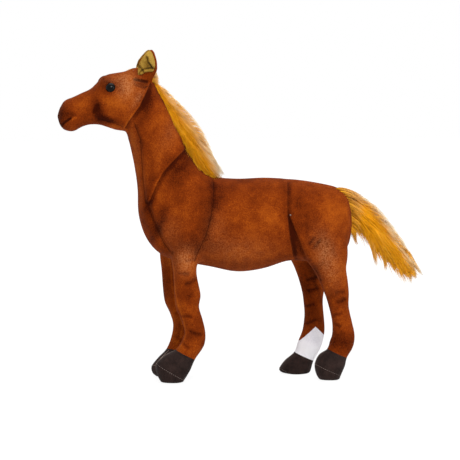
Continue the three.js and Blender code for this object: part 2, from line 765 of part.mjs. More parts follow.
// Trunk and neck
const trunkSections = [
  ...trunkShares.map(([backAhead, backUp, bellyAhead, bellyUp, width]) => (
    section(trunkPoint(backAhead, backUp), trunkPoint(bellyAhead, bellyUp), width * trunkWidth)
  )),
  ...neckShares.map(([crestAhead, crestUp, throatAhead, throatUp, width]) => (
    section(neckPoint(crestAhead, crestUp), neckPoint(throatAhead, throatUp), width * neckWidth)
  )),
];
const trunkTips = [trunkPoint(...rumpTipShares), neckPoint(...neckTipShares)];
const trunkForm = (mesh, inset = 0) => stuffed(trunkSections, trunkTips, mesh, inset);

const headRoom = aheadOf(
  nodAxis.clone().addScaledVector(nodSeam.down, -headDepth),
  nodAxis.clone().addScaledVector(nodSeam.down, headDepth),
).add(ballRoom(nodAxis, nodBall.radius, nodBall.halfWidth, headFine.ball));

// The strip under throat, chest and belly, between the side panels
function gussetStrip(width, grow) {
  const half = width / 2 + grow;
  const outline = [
    ...throatStripShares.map((share) => neckPoint(...share)),
    ...undersideStripShares.map((share) => trunkPoint(...share)),
    neckPoint(...aheadStripShares),
  ];
  return prism(outline, -half, half);
}

function trunkPanels(rooms) {
  const open = (shape) => rooms.reduce((left, room) => left.subtract(room), shape);
  const skin = open(trunkForm(fine).subtract(trunkForm(plain, velourThickness)));
  const poll = aheadOf(nodAxis, nodAxis.clone().add(nodSeam.down), -nodBall.radius * pollShare);
  const filled = open(trunkForm(plain, velourThickness + fillGap)).subtract(poll);
  const neckLine = [neckPoint(...neckSeamShares.crest), neckPoint(...neckSeamShares.throat)];
  const girthLine = [trunkPoint(...girthSeamShares.back), trunkPoint(...girthSeamShares.belly)];
  const flankLine = [trunkPoint(flankSeamShare, 1), trunkPoint(flankSeamShare, 0)];
  const split = (shape, line) => [
    shape.intersect(aheadOf(...line, seamGap / 2)),
    shape.subtract(aheadOf(...line, -seamGap / 2)),
  ];
  const pieces = {};
  const [neckSkin, bodySkin] = split(skin, neckLine);
  const throat = neckSkin.intersect(gussetStrip(throatGussetWidth, -seamGap / 2));
  const underside = bodySkin.intersect(gussetStrip(undersideGussetWidth, -seamGap / 2));
  const neckSides = neckSkin.subtract(gussetStrip(throatGussetWidth, seamGap / 2));
  const bodySides = bodySkin.subtract(gussetStrip(undersideGussetWidth, seamGap / 2));
  const [chest, belly] = split(underside, girthLine);
  Object.assign(pieces, { throat_gusset: throat, chest_gusset: chest, belly_gusset: belly });
  for (const side of ['left', 'right']) {
    const way = side === 'left' ? -1 : 1;
    const low = new THREE.Vector3(-trunkLength * 2, way < 0 ? -cutReach : seamGap / 2, -overrun);
    const high = new THREE.Vector3(overrun, way < 0 ? -seamGap / 2 : cutReach, backHeight + neckRise);
    const half = boxBetween(low, high);
    const [shoulder, rear] = split(bodySides.intersect(half), girthLine);
    const [barrel, rump] = split(rear, flankLine);
    Object.assign(pieces, {
      [`neck_${side}`]: mainBody(neckSides.intersect(half)),
      [`shoulder_${side}`]: mainBody(shoulder),
      [`barrel_${side}`]: mainBody(barrel),
      [`rump_${side}`]: mainBody(rump),
    });
  }
  pieces.stuffing_trunk = filled;
  return pieces;
}

// Mane: a ridge of long pile along the crest, seated on the neck's skin
function mane(neckGrown) {
  const rootDepth = maneStand * maneRootShare;
  const middle = maneShares.map(([ahead, up]) => neckPoint(ahead, up));
  const sections = maneShares.map(([, , stand, width], i) => {
    const before = middle[Math.max(i - 1, 0)];
    const after = middle[Math.min(i + 1, middle.length - 1)];
    const along = after.clone().sub(before).normalize();
    const outward = flat(-along.z, along.x);
    return section(
      middle[i].clone().addScaledVector(outward, stand * maneStand),
      middle[i].clone().addScaledVector(outward, -rootDepth),
      width * maneWidth,
    );
  });
  const tips = maneEndShares.map((share) => neckPoint(...share));
  return mainBody(stuffed(sections, tips, furMesh).subtract(neckGrown));
}

function forelock(headOuterGrown) {
  const sections = forelockShares.map(([ahead, up, width]) => (
    section(headPoint(ahead, up), headPoint(ahead, up - forelockDepthShare), width * forelockWidth)
  ));
  const start = headPoint(...forelockStartShares);
  const end = start.clone().add(flat(-forelockLength, 0));
  return stuffed(sections, [start, end], tuftMesh).subtract(headOuterGrown);
}

// Tail: the dock is sewn into the rump, and the long pile is carried on it
function tailParts() {
  const at = (behind, downShare) => flat(
    tailPlace.x + behind * tailLength,
    tailPlace.z - downShare * tailLength,
  );
  const sections = tailShares.map(([behind, downShare, slope, depth, width]) => {
    const across = flat(Math.sin(turn(slope)), Math.cos(turn(slope)));
    const reach = (depth * tailDepth) / 2;
    const mid = at(behind, downShare);
    return section(
      mid.clone().addScaledVector(across, reach),
      mid.clone().addScaledVector(across, -reach),
      width * tailWidth,
    );
  });
  const tips = tailEndShares.map((share) => at(...share));
  const dock = ball(tailPlace, dockDiameter / 2, dockDiameter / 2, dockSegments);
  const dockRoom = ballRoom(tailPlace, dockDiameter / 2, dockDiameter / 2, dockSegments);
  let tail = stuffed(sections, tips, furMesh).subtract(dockRoom);
  // The rump stays clear of the tail at both ends of its lift and its swing
  const toDock = new THREE.Matrix4().makeTranslation(tailPlace.x, 0, tailPlace.z);
  const fromDock = toDock.clone().invert();
  const rump = trunkForm(fine, -restGap);
  for (const lift of [tailLiftRange[0], 0, tailLiftRange[1]]) {
    for (const swing of [-tailSwingRange, 0, tailSwingRange]) {
      const turned = toDock.clone()
        .multiply(new THREE.Matrix4().makeRotationZ(turn(-swing)))
        .multiply(new THREE.Matrix4().makeRotationY(turn(lift)))
        .multiply(fromDock);
      tail = tail.subtract(moved(rump, turned));
    }
  }
  return { dock, dockRoom, tail };
}

// Putting the horse together
const legs = {
  fore_left: leg('fore', 'left'),
  fore_right: leg('fore', 'right'),
  hind_left: leg('hind', 'left'),
  hind_right: leg('hind', 'right', true),
};
const tailPieces = tailParts();
const rooms = [headRoom, tailPieces.dockRoom, ...Object.values(legs).map((l) => legRoom(l.frame))];
const trunk = trunkPanels(rooms);

const headOuter = headForm(headFine);
const headGrown = headForm(headFine, -restGap);
const headInside = headForm(headPlain, velourThickness + fillGap);
const headSkinInside = headForm(headPlain, velourThickness);
const rearOpening = aheadOf(
  nodAxis.clone().addScaledVector(nodSeam.down, -headDepth),
  nodAxis.clone().addScaledVector(nodSeam.down, headDepth),
  -seamAllowance,
);
let headSkin = headOuter.subtract(headSkinInside).intersect(rearOpening);
let headFilling = headInside;
const eyes = {};
for (const side of ['left', 'right']) {
  eyes[side] = eye(side, headGrown, headInside);
  headSkin = headSkin.subtract(eyes[side].hole);
  headFilling = headFilling.subtract(eyes[side].pocket);
}
const [jawAhead, jawUp] = jawStripShares;
const jawStrip = (grow) => prism(
  [headPoint(jawAhead, jawUp), headPoint(jawAhead, -1), headPoint(-1, -1), headPoint(-1, jawUp)]
    .map((p, i) => p.add(flat(i < 2 ? -grow : 0, i === 0 || i === 3 ? grow : 0))),
  -jawGussetWidth / 2 - grow,
  jawGussetWidth / 2 + grow,
);
const headSides = headSkin.subtract(jawStrip(seamGap / 2));
const sideBox = (way) => boxBetween(
  new THREE.Vector3(-trunkLength * 2, way < 0 ? -cutReach : seamGap / 2, 0),
  new THREE.Vector3(0, way < 0 ? -seamGap / 2 : cutReach, backHeight + neckRise * 2),
);

const horse = new THREE.Group();
function addPiece(name, shape, material) {
  const out = shape.getMesh();
  const geometry = new THREE.BufferGeometry();
  const positions = new Float32Array(out.numVert * 3);
  for (let i = 0; i < out.numVert; i += 1) {
    for (let k = 0; k < 3; k += 1) positions[i * 3 + k] = out.vertProperties[i * out.numProp + k];
  }
  geometry.setAttribute('position', new THREE.BufferAttribute(positions, 3));
  geometry.setIndex([...out.triVerts]);
  geometry.computeVertexNormals();
  const mesh = new THREE.Mesh(geometry, material);
  mesh.name = name;
  horse.add(mesh);
}

const panelMaterials = { throat: chestnutPale, chest: chestnutDark, belly: chestnutPale, stuffing: filling };
for (const [name, shape] of Object.entries(trunk)) {
  addPiece(name, shape, panelMaterials[name.split('_')[0]] ?? chestnut);
}
addPiece('head_left', headSides.intersect(sideBox(-1)), chestnut);
addPiece('head_right', headSides.intersect(sideBox(1)), chestnut);
addPiece('jaw_gusset', headSkin.intersect(jawStrip(-seamGap / 2)), chestnutPale);
addPiece('stuffing_head', headFilling, filling);
for (const side of ['left', 'right']) {
  addPiece(`eye_${side}`, eyes[side].eye, eyePlastic);
  addPiece(`eye_washer_${side}`, eyes[side].washer, washerPlastic);
  const pieces = ear(side, headGrown);
  addPiece(`ear_${side}`, pieces.outer, chestnut);
  addPiece(`ear_lining_${side}`, pieces.lining, liningSuede);
}
addPiece('forelock', forelock(headGrown), longPile);
addPiece('mane', mane(trunkForm(fine, -restGap).add(headRoom)), longPile);
addPiece('tail_dock', tailPieces.dock, chestnutDark);
addPiece('tail', tailPieces.tail, longPile);
for (const [name, { pieces }] of Object.entries(legs)) {
  addPiece(`leg_${name}`, pieces.skin, chestnut);
  if (pieces.sock) addPiece(`sock_${name}`, pieces.sock, sockPlush);
  addPiece(`hoof_${name}`, pieces.hoof, hoofSuede);
  addPiece(`sole_${name}`, pieces.sole, soleSuede);
  addPiece(`stuffing_${name}`, pieces.stuffing, filling);
}

const box = new THREE.Box3().setFromObject(horse);
horse.position.set(-(box.min.x + box.max.x) / 2, -(box.min.y + box.max.y) / 2, -box.min.z);

export default horse;
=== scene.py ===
"""A stuffed toy horse with a velour coat, long-pile mane and tail, and suede hooves.

Metres, in the frame of the part: +Z up, the head looks along -X, the left side is -Y.
"""

import json
import math

import bmesh
import bpy
import numpy as np
from bpy.props import FloatProperty, FloatVectorProperty, PointerProperty
from mathutils import Matrix, Vector

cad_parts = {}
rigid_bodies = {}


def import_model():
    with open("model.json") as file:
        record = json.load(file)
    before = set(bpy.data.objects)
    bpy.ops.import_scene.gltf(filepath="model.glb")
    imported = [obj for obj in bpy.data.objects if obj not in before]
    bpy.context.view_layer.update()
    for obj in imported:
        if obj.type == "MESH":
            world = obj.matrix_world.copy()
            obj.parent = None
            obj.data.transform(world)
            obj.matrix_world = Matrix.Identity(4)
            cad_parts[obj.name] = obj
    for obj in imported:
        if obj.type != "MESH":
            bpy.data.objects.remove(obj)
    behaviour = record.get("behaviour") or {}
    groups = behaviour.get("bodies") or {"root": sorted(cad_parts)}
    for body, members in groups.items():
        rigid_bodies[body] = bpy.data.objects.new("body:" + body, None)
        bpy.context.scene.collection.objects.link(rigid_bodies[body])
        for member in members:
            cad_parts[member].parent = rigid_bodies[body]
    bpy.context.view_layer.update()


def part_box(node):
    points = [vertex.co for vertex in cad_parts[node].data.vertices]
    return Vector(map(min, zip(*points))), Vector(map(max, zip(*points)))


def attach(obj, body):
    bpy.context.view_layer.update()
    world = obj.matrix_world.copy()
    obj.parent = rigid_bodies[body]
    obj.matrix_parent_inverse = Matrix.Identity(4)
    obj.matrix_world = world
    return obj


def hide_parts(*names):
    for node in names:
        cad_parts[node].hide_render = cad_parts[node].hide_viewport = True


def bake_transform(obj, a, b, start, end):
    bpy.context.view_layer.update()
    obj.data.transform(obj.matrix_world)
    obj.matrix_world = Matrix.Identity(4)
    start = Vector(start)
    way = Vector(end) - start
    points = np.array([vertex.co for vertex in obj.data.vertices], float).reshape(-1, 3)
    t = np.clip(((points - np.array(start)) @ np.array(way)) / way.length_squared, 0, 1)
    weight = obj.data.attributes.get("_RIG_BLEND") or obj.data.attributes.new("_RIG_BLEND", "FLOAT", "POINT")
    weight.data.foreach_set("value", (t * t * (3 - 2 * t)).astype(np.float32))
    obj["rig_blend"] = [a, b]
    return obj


bl_info = {
    "name": "Plush Horse",
    "version": (1, 0, 0),
    "blender": (4, 5, 0),
    "location": "View3D > Sidebar > Plush Horse",
    "description": "Sews, stuffs and dresses a plush horse on its packed part",
    "category": "Object",
}

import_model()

# The side view that the seams, creases and shades are laid out on: a sheet of 460 by 460 steps,
# seen from slightly ahead of the horse's left side and slightly above
SHEET = 460
SHEET_STEP = 0.0011
SHEET_MIDDLE = Vector((-0.0104, 0.0, 0.1642))
VIEW_AZIMUTH = -7.0
VIEW_ELEVATION = 5.5
VIEW_DISTANCE = 3.2

# Sizes of the stuffed forms, the same as in the part
TRUNK_LENGTH = 0.234
TRUNK_DEPTH = 0.100
TRUNK_WIDTH = 0.086
BELLY_HEIGHT = 0.1200
NECK_SPAN = 0.092
NECK_RISE = 0.123
NECK_WIDTH = 0.056
HEAD_SETTLE = 0.0011
HEAD_LENGTH = 0.092
HEAD_DEPTH = 0.067
HEAD_WIDTH = 0.050
RUMP_X = 0.1238
LEG_TRACK = 0.058

# Back point and belly point of each section as shares along and up, then the width share
TRUNK_ROWS = [
    (0.006, 0.70, 0.004, 0.36, 0.30),
    (0.024, 0.82, 0.020, 0.22, 0.56),
    (0.066, 0.90, 0.066, 0.14, 0.76),
    (0.140, 0.94, 0.140, 0.10, 0.91),
    (0.225, 0.975, 0.225, 0.09, 0.95),
    (0.315, 1.00, 0.305, 0.10, 0.91),
    (0.420, 1.01, 0.420, 0.02, 0.97),
    (0.535, 1.00, 0.545, -0.01, 1.00),
    (0.643, 1.03, 0.667, 0.05, 0.99),
]
RUMP_TIP = (-0.004, 0.54)
WITHERS = 0.667
NECK_ROWS = [
    (0.12, 0.10, 0.26, -0.74, 1.50),
    (0.24, 0.22, 0.56, -0.68, 1.40),
    (0.33, 0.37, 0.75, -0.54, 1.26),
    (0.40, 0.49, 0.85, -0.32, 1.12),
    (0.48, 0.60, 0.86, -0.10, 1.00),
    (0.55, 0.70, 0.895, 0.10, 0.92),
    (0.62, 0.79, 0.94, 0.27, 0.86),
    (0.68, 0.87, 0.985, 0.40, 0.82),
    (0.74, 0.93, 1.02, 0.51, 0.78),
]
NECK_TIP = (0.89, 0.74)
NOD_PLACE = (0.821, 0.662)
NOD_TILT = 25.6
HEAD_ROWS = [
    (0.970, -0.02, 0.970, -0.28, 0.46),
    (0.910, 0.11, 0.920, -0.36, 0.62),
    (0.815, 0.16, 0.815, -0.39, 0.68),
    (0.710, 0.23, 0.720, -0.32, 0.66),
    (0.600, 0.30, 0.620, -0.28, 0.70),
    (0.500, 0.43, 0.510, -0.28, 0.80),
    (0.420, 0.52, 0.410, -0.32, 0.92),
    (0.300, 0.55, 0.300, -0.37, 1.00),
    (0.180, 0.58, 0.190, -0.39, 1.00),
    (0.060, 0.64, 0.130, -0.41, 0.94),
    (-0.060, 0.52, 0.060, -0.41, 0.84),
    (-0.120, 0.30, -0.060, -0.34, 0.66),
]
NOSE_TIP = (1.000, -0.14)
HEAD_TIP = (-0.180, -0.04)

# Leg rows: ahead of and below the axis as shares of the leg's length, slope in degrees, thickness
# and width as shares
LEGS = {
    "fore": {
        "place": (-0.0648, 0.1395),
        "thick": 0.030,
        "wide": 0.029,
        "rows": [
            (0.000, 0.000, 0, 0.97, 0.97),
            (-0.008, 0.130, 5, 0.87, 0.93),
            (-0.021, 0.238, 5, 0.92, 0.90),
            (-0.029, 0.323, -4, 0.95, 0.90),
            (-0.027, 0.408, -5, 0.83, 0.83),
            (-0.060, 0.504, -3, 0.77, 0.79),
            (-0.083, 0.604, 3, 0.77, 0.76),
            (-0.065, 0.692, 10, 0.84, 0.79),
            (-0.006, 0.777, 28, 0.79, 0.86),
            (0.056, 0.842, 31, 1.07, 1.00),
            (0.113, 0.912, 31, 1.18, 1.03),
            (0.117, 0.958, 19, 1.02, 0.93),
            (0.108, 0.997, 3, 0.74, 0.74),
        ],
    },
    "hind": {
        "place": (0.0915, 0.1415),
        "thick": 0.044,
        "wide": 0.033,
        "rows": [
            (0.000, 0.000, 0, 0.97, 0.97),
            (-0.010, 0.061, -3, 1.01, 1.00),
            (-0.029, 0.125, -3, 0.84, 0.94),
            (-0.061, 0.225, -6, 0.70, 0.82),
            (-0.088, 0.336, -10, 0.58, 0.74),
            (-0.099, 0.435, -6, 0.48, 0.69),
            (-0.120, 0.542, 0, 0.49, 0.67),
            (-0.131, 0.645, 3, 0.56, 0.68),
            (-0.113, 0.721, 12, 0.60, 0.72),
            (-0.080, 0.790, 25, 0.53, 0.76),
            (-0.038, 0.844, 24, 0.70, 0.88),
            (-0.004, 0.916, 25, 0.71, 0.91),
            (-0.002, 0.962, 15, 0.62, 0.84),
            (-0.010, 0.997, 2, 0.48, 0.66),
        ],
    },
}
LEG_SHIFTS = {"fore_left": 0.0, "fore_right": 0.0075, "hind_left": 0.0, "hind_right": 0.0113}
FOOT_TURNS = {"fore_left": 0.0, "fore_right": 35.0, "hind_left": 0.0, "hind_right": 0.0}
ANKLE_SPAN = (0.60, 0.86)
ANKLE_DROPS = {"fore_left": 0.0, "fore_right": 0.06, "hind_left": 0.0, "hind_right": 0.105}
STRIDES = {"fore_left": -0.4, "fore_right": -1.6, "hind_left": -1.0, "hind_right": 7.0}

# Ears, in their own frame: how far up, half width, shift and cup as shares
EAR_PLACE = (-0.0545, 0.476)
EAR_SPREAD = 0.013
EAR_LEAN = 12.0
EAR_TURN = 14.0
EAR_BACK = {"left": 8.0, "right": 14.0}
EAR_HEIGHT = 0.031
EAR_WIDTH = 0.0195
EAR_CUP = 0.005
EAR_OUTLINE = [
    (0.00, 0.62, 0.00, 1.0),
    (0.15, 0.80, 0.00, 1.0),
    (0.33, 0.98, 0.02, 0.9),
    (0.45, 1.00, 0.02, 0.85),
    (0.60, 0.90, 0.00, 0.75),
    (0.75, 0.68, 0.00, 0.6),
    (0.87, 0.46, 0.02, 0.5),
    (0.95, 0.28, 0.04, 0.4),
    (1.00, 0.10, 0.04, 0.35),
]
# Folds of the lining in mm across and up its frame: line, depth and width
EAR_FOLDS = [
    ([(-3.0, 23.0), (-0.8, 17.5), (4.6, 12.5)], 1.5, 1.3),
    ([(-9.5, 12.5), (-5.5, 8.0), (-4.5, 6.5)], 1.2, 1.1),
]
EAR_BAND = [(-6.0, 5.2), (-3.0, 8.2), (8.5, 11.6)]
EAR_FLAP = ([-4.5, -1.2, 5.0], [25.5, 18.0, 13.0])
EAR_FOOT = ([-0.010, -0.006, -0.003, 0.0085], [0.0030, 0.0036, 0.0064, 0.0098])
# Eyes: the row of the head's sections and the angle round it, then sizes of the moulding
EYE_ROW = 6.3
EYE_ANGLE = 60.5
EYE_RADIUS = 0.0053
EYE_DOME = 0.0038
EYE_SEAT = -0.0006
# Mane, forelock and tail as in the part
MANE_STAND = 0.017
MANE_WIDTH = 0.020
MANE_ROWS = [
    (0.665, 0.835, 0.38, 0.55),
    (0.585, 0.725, 0.55, 0.80),
    (0.490, 0.600, 0.84, 0.95),
    (0.405, 0.470, 1.14, 1.00),
    (0.325, 0.340, 1.34, 1.00),
    (0.225, 0.200, 1.30, 0.95),
    (0.110, 0.085, 0.95, 0.80),
]
FORELOCK_ROWS = [(0.02, 0.655, 0.8), (0.07, 0.655, 1.0), (0.12, 0.635, 0.7)]
FORELOCK_START = (-0.01, 0.61)
FORELOCK_LENGTH = 0.016
FORELOCK_WIDTH = 0.013
TAIL_PLACE = (0.030, 0.735)
TAIL_LENGTH = 0.083
TAIL_DEPTH = 0.034
TAIL_WIDTH = 0.026
TAIL_ROWS = [
    (0.10, 0.09, 8, 1.00, 0.62),
    (0.17, 0.12, 13, 1.05, 0.90),
    (0.28, 0.21, 21, 1.00, 1.00),
    (0.42, 0.36, 27, 0.94, 1.00),
    (0.56, 0.53, 28, 0.86, 0.92),
    (0.72, 0.71, 27, 0.71, 0.78),
    (0.87, 0.88, 28, 0.46, 0.52),
]
# Loose strands on the sheet: a line of roots, one they pass and one of their ends, how many,
# their distances from the middle plane, and how pale they are at both ends of the lines
TAIL_WISPS = [
    ([(350, 218), (355, 218)], [(352, 233), (355, 234)], [(357, 246), (359, 248)],
     60, (-0.006, 0.002), (0.1, 0.1)),
    ([(363, 224), (372, 228)], [(371, 247), (375.5, 247)], [(375.5, 268), (377.5, 270)],
     120, (-0.005, 0.003), (0.1, 0.2)),
    ([(376, 236), (384, 242)], [(382.5, 256), (386, 256)], [(384.5, 272), (386.5, 274)],
     100, (-0.004, 0.003), (0.1, 0.2)),
    ([(386, 244), (392, 250)], [(391, 262), (393, 262)], [(395, 272), (397, 273)],
     40, (-0.003, 0.003), (0.2, 0.2)),
    ([(392, 250), (398, 256)], [(398, 266), (402, 268)], [(402, 274), (404, 275)],
     40, (-0.003, 0.003), (0.3, 0.3)),
    ([(396, 252), (404, 256)], [(406, 270), (410, 272)], [(409, 284), (411, 286)],
     60, (-0.003, 0.003), (0.4, 0.4)),
    ([(400, 250), (408, 256)], [(410, 268), (415, 270)], [(414, 278), (417, 280)],
     60, (-0.003, 0.003), (0.5, 0.5)),
    ([(400, 244), (409, 252)], [(411, 262), (417, 266)], [(420, 275), (426, 279)],
     110, (-0.004, 0.004), (0.6, 0.8)),
    ([(350, 196), (368, 208), (385, 226), (400, 247)],
     [(359, 195), (377, 209.5), (393, 229), (408, 252)],
     [(369, 201), (387, 217), (402, 239), (418, 267)],
     230, (-0.008, 0.008), (0.9, 1.0)),
]
DOCK_WISPS = [
    ([(335, 188.5), (340, 193), (343, 200), (345.5, 209), (346, 218), (346, 228)],
     [(350, 190.5), (354, 197), (357, 205), (358, 214), (356, 223), (352, 232)],
     [(368, 200), (374, 212), (376, 223), (371, 231), (364, 236), (356, 239)],
     1100, (-0.013, 0.011), (0.25, 0.0)),
]
POLL_WISPS = [
    ([(150.5, 84), (151, 77), (151, 72)], [(155, 83), (155.5, 75), (154, 70.5)],
     [(161, 92), (158.5, 82), (157, 74)], 260, (-0.009, 0.009), (0.1, 0.8)),
]
MANE_WISPS = [
    ([(157, 86), (175, 106), (191, 125), (201, 142), (212, 162)],
     [(163, 88), (183, 108), (199, 127), (209, 148), (218, 168)],
     [(170, 95), (190, 116), (204, 133), (212, 154), (224, 177)],
     260, (-0.005, 0.005), (0.6, 1.0)),
    ([(196, 134), (204, 150), (210, 165)], [(206, 143), (213, 158), (218, 170)],
     [(213, 158), (220, 171), (229, 178.5)], 130, (-0.004, 0.004), (1.0, 1.0)),
]
FORELOCK_WISPS = [
    ([(139, 74), (143, 72)], [(137, 71), (139.5, 69)], [(133, 71.5), (135.5, 68)],
     110, (-0.004, 0.004), (0.3, 0.6)),
]
# Strands of the pile: bend, wave and width as shares of length
STRANDS = [(0.10, 0.02, 0.042), (0.20, -0.04, 0.032), (0.03, 0.05, 0.026)]
# Stitches: half length, half width and half height, and their pitch
STITCH_SIZE = (0.0006, 0.00030, 0.00026)
STITCH_PITCH = 0.0023
THREAD_SPOT = (290.5, 215.0)
# The pile of mane and tail: how far its strands stray, and how much neighbours lean together
UNRULINESS = 0.10
LOCKS = 0.45
# The length of the pile, what hangs of it and how fair it is, along the rows of a core
FLAT = ((0, 1), (0, 0))
MANE_REACH = ((0, 0.4, 0.8, 1), (0.015, 0.025, 0.026, 0.023))
MANE_FAIR = ((0, 0.5, 0.75, 1), (0.35, 0.45, 0.9, 1.0))
FORELOCK_REACH = ((0, 1), (0.006, 0.006))
FORELOCK_FAIR = ((0, 1), (1.0, 1.0))
TAIL_REACH = ((0, 0.3, 0.6, 1), (0.026, 0.034, 0.032, 0.026))
TAIL_HANG = ((0, 1), (2.0, 1.5))
TAIL_FAIR = ((0, 0.4, 1), (0.6, 1.0, 1.0))
# How much of its depth each row of the tail's core has, and how thin the core is in its pile
TAIL_FULLNESS = (1.25, 0.95, 0.80, 0.75, 0.75, 0.75, 0.75)
TAIL_CORE = 0.34

# Rows of a leg, from its end, where the hoof and the sole begin, and the steps between rows
HOOF_ROW = -5
SOLE_ROW = -3
HOOF_STEPS = 12
# How far a hoof goes up inside its leg, and how much its rim is drawn in there
HOOF_INSIDE = 0.0035
RIM_TUCK = 0.13
# The stitches of a sole seam lie above this height
STITCHED_FROM = 0.0035
# A foot is turned in full below the first height and not at all above the second
FOOT_TURN_SPAN = (0.050, 0.078)
# How far a sole stays above the floor, and how soft the bend at its contact is
SOLE_LIFT = 0.0003
SOLE_BEND = 0.0014
SQUARENESS = 2.3

# Where the coat is parted: behind the fore legs, and above feet, sock, neck and head
FORE_END = 0.01
FOOT_TOP = 0.07
SOCK_TOP = 0.08
NECK_FROM = 0.19
HEAD_FROM = 0.24
# The head's seam and the way it faces, the neck that bends behind it, and the room left between
HEAD_SEAM = Vector((-0.10781, 0.0, 0.30143))
SEAM_AHEAD = Vector((-math.cos(math.radians(NOD_TILT)), 0.0, math.sin(math.radians(NOD_TILT))))
NECK_BEND = 0.046
SEAM_ROOM = 0.002
# A leg is its own piece below this height, and bends between these two
LEG_CUT = 0.1260
LEG_BEND = (0.1250, 0.098)
SOCK_EDGES = [((300, 342.3), (315.8, 326.8)), ((315.8, 326.8), (330, 340.5))]
SOCK_Y = 0.016

# Bulges of the filling on both sides: centre and radii
BULGES = [
    ((-0.134, 0.0135, 0.3085), (0.0175, 0.0125, 0.0165)),
    ((0.088, 0.0240, 0.160), (0.026, 0.0200, 0.034)),
    ((-0.060, 0.0255, 0.160), (0.022, 0.0180, 0.034)),
    ((-0.1455, 0.0100, 0.3262), (0.0095, 0.0100, 0.0085)),
    ((0.0990, 0.0280, 0.1400), (0.0185, 0.0150, 0.0270)),
]
# Rounds of smoothing for the whole coat and for the roots of the legs, and where those are
EVEN_ROUNDS = 9
ROOT_ROUNDS = 26
ROOT_REACH = 0.047
ROOT_HEIGHT = 0.143
ROOT_RISE = 0.024
# The cloth that swells: its mass, and the frames it is given
CLOTH_MASS = 0.03
CLOTH_FRAMES = 20

# Lights: name, place, size, power and what they shine on
LIGHTS = [
    ("key", (-0.10, -1.75, 1.85), 0.8, 20, (0, 0, 0.18)),
    ("fill", (1.5, -1.3, 0.9), 1.2, 8, (0, 0, 0.18)),
    ("top", (0.0, 0.3, 2.0), 1.4, 10, (0, 0, 0.1)),
    ("spark", (0.35, -1.7, 1.75), 0.3, 8.0, (-0.14, 0, 0.32)),
]
SENSOR_WIDTH = 36
FLOOR_REACH = 4

# Seams of the side view in sheet steps
GIRTH = [(212, 172), (214, 190), (213, 205), (210, 222), (205, 238), (198, 252), (194, 262)]
FLANK = [(287, 170), (288, 190), (288, 215), (290, 235), (294, 258)]
DART_BACK = [(288, 213), (297, 235), (303, 250), (308, 262)]
NECK_SEAM = [(189, 146), (175, 160), (164, 172), (157, 185), (152, 197), (148, 206)]
CHEST_GROOVE = [(146, 200), (155, 225), (165, 245), (174, 256)]
THROAT_SEAM = [(134, 122), (140.5, 140), (143, 180), (146, 205)]
HEAD_EDGE = [(151, 82), (148, 90), (140.5, 106), (133.5, 116), (129, 122), (125, 129)]
JAW_SEAM = [(97, 118.5), (105, 120.5), (114, 123), (124, 127)]
# Each seam: its line, the depth of its groove and its width in mm, and how far its left side stands
# over its right side, in mm
SEAMS = [
    (GIRTH, 1.0, 1.6, 0.0),
    (FLANK, 0.8, 1.5, 0.4),
    (DART_BACK, 0.8, 1.5, -0.3),
    (NECK_SEAM, 0.9, 1.5, 0.7),
    (CHEST_GROOVE, 2.2, 2.6, 0.0),
    (THROAT_SEAM, 0.7, 1.6, 0.0),
    (HEAD_EDGE, 0.9, 1.4, 0.9),
    (JAW_SEAM, 0.3, 1.3, 0.0),
]
# Lines that only lighten or darken the velour: painted shade under the mane's edge, under the ear and in the
# mouth, and painted highlights beside the mouth and down the fore legs; line, strength and width in mm
PAINTED_LIGHT_LINES = [
    (
        [(150, 76), (158, 92), (170, 112), (178, 130), (186, 150), (196, 163), (210, 177)],
        -0.55, 2.2,
    ),
    (
        [
            (170, 256), (174, 270), (175, 290), (178, 305), (184, 322), (186, 333), (183, 343),
            (177, 351),
        ],
        0.55, 0.9,
    ),
    ([(133, 80), (136, 85.5), (143, 88), (149, 86)], -0.6, 0.9),
    ([(71, 119), (74, 117.6), (77, 118)], 0.7, 0.9),
    ([(60.5, 126), (65, 122), (72.5, 117.4)], -1.3, 0.9),
    ([(64, 125), (69, 121.5), (73.5, 119.2)], 0.7, 0.8),
    ([(132.5, 78.8), (138, 80.2), (148.5, 82)], -1.5, 1.2),
    ([(303, 255), (312, 270), (319, 285), (325, 300), (329, 312)], -0.35, 2.0),
]
# Creases: line, depth and width in mm
CREASES = [
    ([(177, 273), (184, 274), (191, 274)], 0.8, 1.5),
    ([(183, 285), (190, 283), (198, 278), (202, 275)], 2.0, 2.2),
    ([(187, 330), (196, 334), (204, 335)], 1.0, 1.8),
    ([(179, 340), (190, 350)], 0.8, 1.6),
    ([(334, 292), (346, 292)], 0.9, 1.6),
    ([(334, 303), (340, 302), (347, 298)], 1.6, 2.0),
    ([(92, 115), (95, 110), (99, 103)], 1.8, 2.4),
    ([(61, 126), (66, 122), (72, 118)], 1.7, 1.4),
    ([(132, 78.8), (138, 80), (150, 82.5)], 1.5, 1.8),
    ([(101, 80), (105, 78)], 0.9, 1.6),
    ([(177, 318), (186, 316), (194, 317)], 0.6, 1.4),
    ([(309, 284), (323, 279)], 0.8, 1.4),
    ([(311, 295), (325, 291)], 0.8, 1.5),
    ([(307, 313), (321, 307)], 0.7, 1.4),
    ([(310, 330), (322, 323)], 0.6, 1.3),
    ([(331, 316), (344, 313)], 0.6, 1.4),
    ([(330, 322), (342, 327)], 0.6, 1.3),
    ([(184, 262), (196, 259)], 0.5, 1.8),
    ([(316, 236), (308, 246)], 0.6, 1.6),
    ([(322, 238), (312, 250)], 0.5, 1.6),
    ([(294, 259), (302, 260), (312, 261)], 1.2, 2.0),
    ([(310, 262), (318, 274), (322, 285)], 0.8, 2.2),
]
